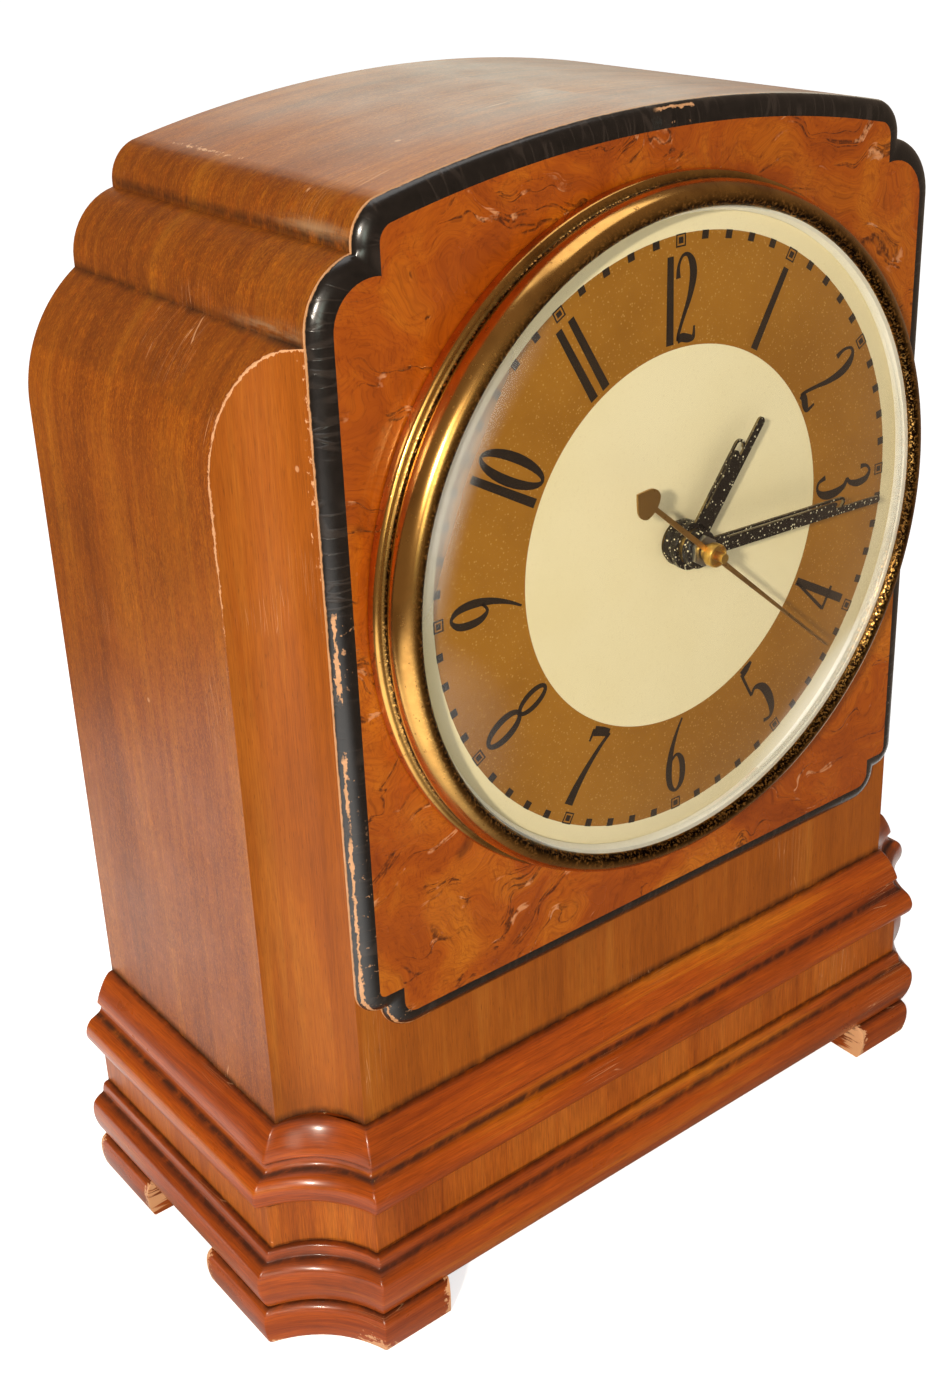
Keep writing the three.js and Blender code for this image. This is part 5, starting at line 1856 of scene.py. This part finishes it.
class Numeral(Enum):
    """The strokes of each figure: points across, up and the stroke's width there."""

    ONE = (((0, 0, 1.2), (0, 8, 1.1), (0, 16.2, 1.0)),)
    TWO = (
        ((-1.9, 12.0, 0.75), (-1.85, 14.2, 0.45), (-0.9, 15.9, 0.4), (0.5, 15.9, 0.6), (1.6, 14.2, 1.1),
         (1.8, 11.6, 1.15), (0.9, 8.0, 0.8), (-0.6, 4.6, 0.55), (-1.7, 1.8, 0.5), (-1.9, 0.5, 0.5)),
        ((-2.0, 0.55, 0.9), (-0.9, 0.95, 1.1), (0.5, 0.55, 1.1), (1.7, 0.4, 0.8), (2.1, 0.9, 0.5),
         (2.2, 2.6, 0.3)),
    )
    THREE = (
        ((-1.9, 13.2, 0.75), (-1.7, 14.9, 0.45), (-0.4, 16.0, 0.45), (1.1, 15.0, 0.95), (1.5, 12.6, 1.1),
         (0.8, 10.2, 0.7), (-0.4, 9.2, 0.4)),
        ((-0.4, 9.2, 0.4), (1.2, 8.2, 0.85), (2.0, 5.2, 1.3), (1.6, 2.2, 1.1), (0.2, 0.4, 0.5),
         (-1.4, 0.6, 0.45), (-2.1, 2.6, 0.75)),
    )
    FOUR = (
        ((0.9, 0, 1.25), (0.9, 8, 1.2), (0.9, 16.2, 1.1)),
        ((0.7, 16.0, 0.45), (-2.5, 4.9, 0.5)),
        ((-2.7, 4.8, 0.5), (2.6, 4.8, 0.5)),
    )
    FIVE = (
        ((-1.4, 15.4, 1.2), (0.2, 15.7, 1.1), (1.9, 16.1, 0.5)),
        ((-1.5, 15.6, 0.5), (-1.7, 9.0, 0.4)),
        ((-1.7, 9.0, 0.4), (0.0, 9.8, 0.6), (1.6, 8.2, 1.2), (2.0, 5.2, 1.4), (1.4, 2.0, 1.1),
         (0.0, 0.3, 0.5), (-1.9, 0.9, 0.6)),
    )
    SIX = (
        ((1.7, 16.2, 0.3), (0.2, 13.4, 0.5), (-1.2, 9.6, 0.85), (-1.9, 5.4, 1.1), (-1.5, 1.8, 0.9),
         (0.0, 0.3, 0.45), (1.5, 1.8, 0.9), (1.9, 4.4, 1.05), (1.5, 7.0, 0.9), (0.2, 8.4, 0.45),
         (-1.4, 7.2, 0.4)),
    )
    SEVEN = (
        ((-2.0, 15.2, 1.4), (0.0, 15.5, 1.3), (2.0, 15.6, 1.1)),
        ((-2.2, 15.6, 0.5), (-2.3, 13.0, 0.3)),
        ((2.2, 15.6, 0.5), (1.0, 12.4, 0.6), (-0.2, 8.0, 0.85), (-1.0, 3.6, 1.2), (-1.3, 0.0, 1.5)),
    )
    EIGHT = (
        tuple(oval(0.1, 12.4, 1.5, 3.5, 0.75, 0.55)),
        tuple(oval(-0.1, 4.5, 1.9, 4.2, 1.0, 0.6)),
    )
    NINE = (
        ((-1.7, 0.0, 0.3), (-0.2, 2.8, 0.5), (1.2, 6.6, 0.85), (1.9, 10.8, 1.1), (1.5, 14.4, 0.9),
         (0.0, 15.9, 0.45), (-1.5, 14.4, 0.9), (-1.9, 11.8, 1.05), (-1.5, 9.2, 0.9), (-0.2, 7.8, 0.45),
         (1.4, 9.0, 0.4)),
    )
    NOUGHT = (tuple(oval(0, 8.1, 2.15, 7.8, 1.25, 0.5)),)


@dataclass
class Dial:
    """The printed dial: cream centre, bronze chapter ring, cream band, numerals and minute squares."""

    form: CaseForm
    shop: Shop
    face: float = -7.2
    thickness: float = 0.7
    hole: float = 4.2
    radius: float = 65.8
    centre_radius: float = 37.8
    ring_radius: float = 58.6
    band_radius: float = 61.5
    ink: float = 0.04
    sunk: float = 0.01
    numeral_height: float = 16.2
    numeral_radius: float = 46.8
    square: float = 1.6
    square_in: float = 0.75
    framed: float = 2.4
    framed_in: float = 0.35
    frame_width: float = 0.28
    core_in: float = 0.62
    heavy: float = 1.5
    hours: tuple[tuple[tuple[Numeral, float], ...], ...] = (
        ((Numeral.ONE, -2.5), (Numeral.TWO, 1.35)), ((Numeral.ONE, 0.0),), ((Numeral.TWO, 0.0),),
        ((Numeral.THREE, 0.0),), ((Numeral.FOUR, 0.0),), ((Numeral.FIVE, 0.0),), ((Numeral.SIX, 0.0),),
        ((Numeral.SEVEN, 0.0),), ((Numeral.EIGHT, 0.0),), ((Numeral.NINE, 0.0),),
        ((Numeral.ONE, -2.9), (Numeral.NOUGHT, 1.2)), ((Numeral.ONE, -1.6), (Numeral.ONE, 1.6)),
    )

    def plate(self) -> Skin:
        """Turn the dial plate, its second zone bronze.

        Returns:
            The skin.
        """
        back = self.face + self.thickness
        rims = [self.hole, self.centre_radius, self.ring_radius, self.band_radius, self.radius]
        profile = [*[(r, self.face) for r in rims], (self.radius, back), (self.hole, back)]
        return turned(profile, 180, lambda i: int(i == 1), (0.0, self.form.dial_z))

    def stroke(self, skin: Skin, points: Sequence[Triple], move: Move) -> None:
        """Lay one pen stroke on the dial.

        Args:
            skin: The ink's skin.
            points: Points across, up and the width there.
            move: Puts a drawn point in its place on the dial.
        """
        round_trip = math.dist(points[0][:2], points[-1][:2]) < 1e-6
        fine = smoothed(points, 5) if 2 < len(points) < OVAL_STEPS else list(points)
        left, right = [], []
        for i, (u, v, w) in enumerate(fine):
            before = fine[i - 1] if i else (fine[-2] if round_trip else fine[0])
            after = fine[i + 1] if i + 1 < len(fine) else (fine[1] if round_trip else fine[-1])
            run = math.dist(before[:2], after[:2])
            side = ((after[1] - before[1]) / run, (before[0] - after[0]) / run)
            half = self.heavy * w / 2
            left.append((u - side[0] * half, v - side[1] * half))
            right.append((u + side[0] * half, v + side[1] * half))
        rows = []
        for rail, y in ((left, self.sunk), (left, -self.ink), (right, -self.ink), (right, self.sunk)):
            spots = [move(u, v) for u, v in rail]
            rows.append([Corner((x, self.face + y, z)) for x, z in spots])
        skin.grid([*rows, rows[0]], 0)
        if not round_trip:
            for k in (0, -1):
                skin.grid([[rows[0][k], rows[1][k]], [rows[3][k], rows[2][k]]], 0)

    def figure_place(self, hour: int, shift: float) -> Move:
        """Give the way to put a figure, drawn upright on its foot, at its hour.

        Args:
            hour: The hour. From 4 to 8 the figures stand with their heads inward.
            shift: How far the figure stands to the side.

        Returns:
            A function that turns a drawn point into a place across and up.
        """
        turn = clockwise(self.form, 30 * hour, self.numeral_radius)
        sign = -1 if 4 <= hour <= 8 else 1
        return lambda u, v: turn(sign * (u + shift), sign * (v - self.numeral_height / 2))

    def numerals(self) -> Skin:
        """Draw the twelve numerals.

        Returns:
            The skin.
        """
        skin = Skin()
        for hour, figures in enumerate(self.hours):
            for figure, shift in figures:
                for points in figure.value:
                    self.stroke(skin, points, self.figure_place(hour, shift))
        return skin

    def squares(self) -> Skin:
        """Draw the minute squares, framed at the hours.

        Returns:
            The skin.
        """
        skin = Skin()
        depths = (self.face - self.ink, self.face + self.sunk)
        for minute in range(60):
            move = clockwise(self.form, 6 * minute, self.ring_radius - self.square_in)
            if minute % 5:
                skin.slab([self.box(self.square / 2)], *depths, move)
            else:
                outer, inner, core = (
                    [(u, v - self.framed_in) for u, v in self.box(self.framed / 2 - inset)]
                    for inset in (0.0, self.frame_width, self.core_in))
                skin.slab([outer, inner], *depths, move)
                skin.slab([core], *depths, move)
        return skin

    @staticmethod
    def box(half: float) -> list[Pair]:
        """A square about the middle."""
        return [(-half, -half), (half, -half), (half, half), (-half, half)]

    def build(self) -> None:
        """Build the dial, its numerals and its squares, and dress them."""
        shop = self.shop
        mesh = self.plate().mesh("printed_dial", 40)
        shown("printed_dial", mesh, "case", [shop.cream, shop.gold], ["dial_plate"])
        for name, skin in (("dial_numerals", self.numerals()), ("minute_squares", self.squares())):
            shown(name, skin.mesh(name, 40), "case", [shop.ink])


# Hands


@dataclass
class Hands:
    """The pierced hour and minute hands with their collets, and the second hand with its heart."""

    form: CaseForm
    shop: Shop
    blade: float = 0.5
    hour_turn: float = 37.7
    minute_turn: float = 92.2
    second_turn: float = 131.5
    hour_plane: float = -11.3
    minute_plane: float = -13.6
    second_plane: float = -16.3
    hub_front: float = -18.0
    hub_radius: float = 2.3
    wire: float = 0.5
    gap: float = 0.35
    bow: float = 1.6

    def pierced(self, half: float, root: float, loop: float, tip: float, point: float) -> list[list[Pair]]:
        """Draw a pierced hand.

        Args:
            half: Half of the body's width.
            root: Where the body leaves the collet.
            loop: Where the loop over the body ends.
            tip: The hand's length.
            point: The pointer's width.

        Returns:
            Its outline and the slot in it.
        """
        wire, gap = self.wire, self.gap
        left = half - point
        radius = (half + left) / 2
        cu, cv = radius - half, loop - radius
        over = arc(cu, cv, radius, math.pi, 0.5, 12)
        end = arc(half - point / 2, tip - point / 2, point / 2, math.pi, 0, 8)
        outline = [
            (half, root - 0.6), (half, loop), *reversed(end), (left, over[-1][1] + 0.2),
            *reversed(over), (-half, root - 0.6)]
        inside = arc(cu, cv, radius - wire, math.pi, 0.35, 12)
        under = arc(cu + gap / 2, cv - self.bow, radius - wire - gap / 2, math.pi, 0.35, 12)
        slot = [(-half + wire, root + 3), *inside, (left - 0.05, inside[-1][1] - 0.2),
                (left - 0.05, under[-1][1] + 0.1), *reversed(under), (-half + wire + gap, root + 3)]
        return [outline, slot]

    def collet(self, skin: Skin, profile: Sequence[Pair], finish: int = 0) -> None:
        """Add a turned part about the dial's axis.

        Args:
            skin: The skin to add to.
            profile: Radius and depth of each point, in order round the section.
            finish: The index of its material.
        """
        other = turned(profile, 40, lambda i: finish, (0.0, self.form.dial_z))
        other.close()
        data = bpy.data.meshes.new("collet")
        other.bm.to_mesh(data)
        other.bm.free()
        skin.bm.from_mesh(data)
        bpy.data.meshes.remove(data)

    def hour(self) -> Skin:
        """Build the hour hand and its stepped collet.

        Returns:
            The skin.
        """
        skin = Skin()
        front = self.hour_plane
        rings = self.pierced(half=2.3, root=4.4, loop=22.2, tip=28.0, point=1.8)
        skin.slab(rings, front, front + self.blade, clockwise(self.form, self.hour_turn), 0, 2)
        self.collet(skin, [
            (3.62, front), (4.55, front), (4.72, front + 0.15), (4.72, front + 1.2),
            (4.5, front + 1.45), (4.3, front + 1.5), (4.3, front + 1.9), (4.5, front + 2.0),
            (4.6, front + 2.2), (4.6, front + 3.3), (4.4, front + 3.5), (3.62, front + 3.5),
        ])
        return skin

    def minute(self) -> Skin:
        """Build the minute hand, its collet and the nut that holds it.

        Returns:
            The skin.
        """
        skin = Skin()
        front = self.minute_plane
        rings = self.pierced(half=1.8, root=3.5, loop=40.0, tip=50.5, point=1.45)
        move = clockwise(self.form, self.minute_turn)
        skin.slab(rings, front, front + self.blade, move, 0, 2)
        self.collet(skin, [
            (2.4, front - 0.1), (3.5, front - 0.1), (3.75, front + 0.1), (3.75, front + 0.75),
            (3.55, front + 0.95), (3.75, front + 1.15), (3.75, front + 1.45), (3.6, front + 1.6),
            (2.4, front + 1.6),
        ])
        hexagon, bore = arc(0, 0, 3.1, 0, TURN, 6)[:-1], arc(0, 0, 1.3, 0, TURN, 20)[:-1]
        skin.slab([hexagon, bore], front - 1.0, front - 0.12, move, 1)
        return skin

    def second(self) -> Skin:
        """Build the second hand, its heart and its hub.

        Returns:
            The skin.
        """
        skin = Skin()
        front = self.second_plane
        back = front + 0.35
        move = clockwise(self.form, self.second_turn)
        needle = [(-0.5, -19.5), (0.5, -19.5), (0.55, 0), (0.2, 44.5), (-0.2, 44.5), (-0.55, 0)]
        skin.slab([needle], front, back, move)
        half = smoothed([(0.0, -25.2), (1.2, -24.1), (2.6, -22.6), (3.0, -21.2), (2.5, -19.9), (1.3, -19.3),
                         (0.35, -19.1)], 4)
        heart = [*half, *[(-u, v) for u, v in reversed(half[1:])]]
        skin.slab([heart], front - 0.02, back + 0.02, move)
        r, f = self.hub_radius, self.hub_front
        self.collet(skin, [
            (0.0, f), (0.4, f + 0.05), (0.5, f + 0.25), (0.52, f + 0.65), (r - 0.62, f + 0.65),
            (r - 0.55, f + 0.15), (r - 0.4, f), (r - 0.15, f + 0.1), (r, f + 0.35), (r, front + 0.1),
            (r - 0.2, front + 0.4), (r - 0.6, front + 0.5), (r - 0.7, front + 1.4), (1.07, front + 1.4),
            (1.07, f + 1.2), (0.0, f + 1.2),
        ], 1)
        return skin

    def build(self) -> None:
        """Build the three hands and dress them."""
        shop = self.shop
        # The third finish goes on the blades' side faces: worn edges with a painted highlight.
        black = [shop.hand, shop.steel, shop.hand_edge_wear_and_highlight]
        brass = [shop.seconds, shop.wheel]
        for word, skin, finishes, slot, round_off in (
            ("hour", self.hour(), black, "hand_black", 0.12),
            ("minute", self.minute(), black, "hand_black", 0.12),
            ("second", self.second(), brass, "bezel_brass", 0.0),
        ):
            name = f"{word}_pointer"
            shown(name, skin.mesh(name), f"{word}s", finishes, [f"{word}_hand"], round_off)


# Works and back


@dataclass
class Works:
    """The frame's own pieces that keep their shape and only need a finish."""

    shop: Shop

    def finishes(self) -> dict[str, Finish]:
        """Give each kept piece's finish by its material slot."""
        shop = self.shop
        return {
            "softwood": shop.softwood, "hardboard": shop.board, "wheel_brass": shop.wheel,
            "steel": shop.steel, "lamination": shop.sheets, "coil": shop.coil,
            "black_plastic": shop.plastic,
        }

    def build(self) -> None:
        """Dress every frame piece that shows its own shape."""
        finishes = self.finishes()
        slots = {part["node"]: part["material_slot"] for part in frame["record"]["subparts"]}
        for name, node in frame["nodes"].items():
            finish = finishes.get(slots.get(name, ""))
            if finish is None or node.hide_render:
                continue
            for material in node.material_slots:
                material.material = finish


# Studio


@dataclass(frozen=True)
class Lamp:
    """A soft square lamp."""

    name: str
    spot: Triple
    aim: Triple
    size: float
    power: float
    tint: str = "#ffffff"

    def build(self) -> None:
        """Hang the lamp and point it."""
        data = bpy.data.lights.new(self.name, "AREA")
        data.shape = "SQUARE"
        data.size = self.size
        data.energy = self.power
        data.color = colour(self.tint)[:3]
        lamp = bpy.data.objects.new(self.name, data)
        lamp.location = self.spot
        aim = Vector(self.aim) - Vector(self.spot)
        lamp.rotation_euler = aim.to_track_quat("-Z", "Y").to_euler()
        bpy.context.scene.collection.objects.link(lamp)


@dataclass
class Studio:
    """A pale floor, an even sky, soft lamps, and what polished surfaces mirror."""

    sky: float = 0.36
    dim_glow: float = 0.2
    dim_tint: str = "#ffdcbc"
    window_tint: str = "#ebfff0"
    window_glow: float = 2.3
    front_glow: float = 4.5
    front_middle: Pair = (-0.42, 0.12)
    card_tint: str = "#fffbf5"
    floor_glow: float = 0.72
    floor_shade: float = 0.86
    floor_reach: float = 3000.0
    floor_cards: tuple[tuple[float, float, float, float], ...] = (
        (-0.27, -0.16, 0.26, 1.7), (-0.17, 0.14, 0.15, 1.5), (0.17, 0.04, 0.12, 0.8))
    lamps: tuple[Lamp, ...] = (
        Lamp("key", (-0.87, -0.65, 0.58), (0, 0, 0.13), 0.07, 11.0, "#fff4e2"),
        Lamp("soft", (-0.8, -0.86, 0.6), (0, 0, 0.13), 0.5, 1.3, "#fff8ee"),
        Lamp("top", (0.15, 0.1, 1.2), (0, 0, 0.1), 0.7, 2.3),
    )

    def floor(self) -> None:
        """Lay the floor: bright to the camera, shaded by the clock, and mirrored dim with pale cards."""
        skin = Skin()
        ends = (-self.floor_reach, self.floor_reach)
        skin.grid([[Corner((x, y, 0)) for x in ends] for y in ends])
        data = bpy.data.meshes.new("floor")
        skin.bm.to_mesh(data)
        skin.bm.free()
        floor = bpy.data.objects.new("floor", data)
        bpy.context.scene.collection.objects.link(floor)
        g = Graph.named("pale_floor")
        shade = self.floor_shade
        matt = g.node("BsdfDiffuse", {"Color": (shade, shade, shade, 1)})
        glow = g.node("Emission", {"Color": (1, 1, 1, 1), "Strength": self.floor_glow})
        seen, reflected = g.direct_rays()
        none = g.node("Emission", {"Strength": 0.0})
        extra = g.between(seen, none, glow)
        both = g.node("AddShader", {0: matt.outputs[0], 1: extra.outputs[0]})
        spot = g.spot()
        level: object = self.dim_glow
        for x, y, reach, power in self.floor_cards:
            inputs = {0: spot, 1: (x, y, 0.0)}
            away = g.node("VectorMath", inputs, operation="DISTANCE").outputs["Value"]
            level = g.scaled(g.step(away, reach, reach * 0.45), power, level)
        carded = g.step(level, self.dim_glow, self.dim_glow + 0.3)
        tint = g.blend(carded, self.dim_tint, self.card_tint)
        mirrored = g.node("Emission", {"Color": tint, "Strength": level})
        data.materials.append(g.close(g.between(reflected, both, mirrored)))

    def world(self) -> None:
        """Light the room evenly, show it white to the camera, and mirror it dim with two pale windows."""
        world = bpy.data.worlds.new("room")
        bpy.context.scene.world = world
        g = Graph(world)
        seen, reflected = g.direct_rays()
        x, y, z = g.split(g.node("TexCoord").outputs["Generated"])
        height = g.times(g.step(z, 0.0, 0.14), g.step(z, 0.75, 0.2))
        back = g.times(g.step(y, 0.35, 0.75), height, g.step(x, 0.12, 0.56))
        across, up = self.front_middle
        beside, above = g.step(g.apart(x, across), 0.26, 0.04), g.step(g.apart(z, up), 0.34, 0.06)
        front = g.times(g.step(y, -0.7, -0.88), beside, above)
        level = g.scaled(front, self.front_glow, g.scaled(back, self.window_glow, self.dim_glow))
        tint = g.blend(g.larger(back, front), self.dim_tint, self.window_tint)
        even = g.node("Background", {"Color": (1, 1, 1, 1), "Strength": self.sky})
        mirrored = g.node("Background", {"Color": tint, "Strength": level})
        white = g.node("Background", {"Color": (1, 1, 1, 1), "Strength": 1.0})
        room = g.between(seen, g.between(reflected, even, mirrored), white)
        g.node("OutputWorld", {0: room.outputs[0]})

    def build(self) -> None:
        """Build the floor, the sky and the lamps."""
        self.floor()
        self.world()
        for lamp in self.lamps:
            lamp.build()


@dataclass(frozen=True)
class View:
    """The camera at the photograph's place and angle: radians, millimetres and pixels."""

    azimuth: float = -0.646
    elevation: float = 0.432
    roll: float = -0.043
    spot: Triple = (-225.9, -238.6, 287.6)
    focal: float = 1809.4
    middle: Pair = (465.1, 623.3)

    def build(self) -> None:
        """Set the camera up."""
        out = Vector((
            math.sin(self.azimuth) * math.cos(self.elevation),
            -math.cos(self.azimuth) * math.cos(self.elevation),
            math.sin(self.elevation),
        ))
        right = (-out).cross(Vector((0, 0, 1))).normalized()
        up = right.cross(-out)
        c, s = math.cos(self.roll), math.sin(self.roll)
        right, up = right * c + up * s, up * c - right * s
        data = bpy.data.cameras.new("camera")
        data.sensor_fit = "VERTICAL"
        data.lens = self.focal / PICTURE[1] * data.sensor_height
        data.shift_x = (PICTURE[0] / 2 - self.middle[0]) / PICTURE[1]
        data.shift_y = -(PICTURE[1] / 2 - self.middle[1]) / PICTURE[1]
        data.clip_start = 0.01
        camera = bpy.data.objects.new("camera", data)
        turn = Matrix((right, up, out)).transposed().to_4x4()
        camera.matrix_world = Matrix.Translation(place(*self.spot)) @ turn
        bpy.context.scene.collection.objects.link(camera)
        bpy.context.scene.camera = camera


def main() -> None:
    """Build the clock's looks piece by piece."""
    logging.basicConfig(level=logging.INFO, format="%(name)s: %(message)s")
    bpy.context.scene.view_settings.view_transform = "Standard"
    View().build()
    Studio().build()
    shop = Shop.open()
    form = CaseForm()
    for part in (
        Hood(form, shop), Panel(form, shop), BaseMoulds(form, shop), Feet(form, shop),
        Glazing(form, shop), Dial(form, shop), Hands(form, shop), Works(shop),
    ):
        part.build()
        log.info("%s built", type(part).__name__)


if __name__ == "__main__":
    main()
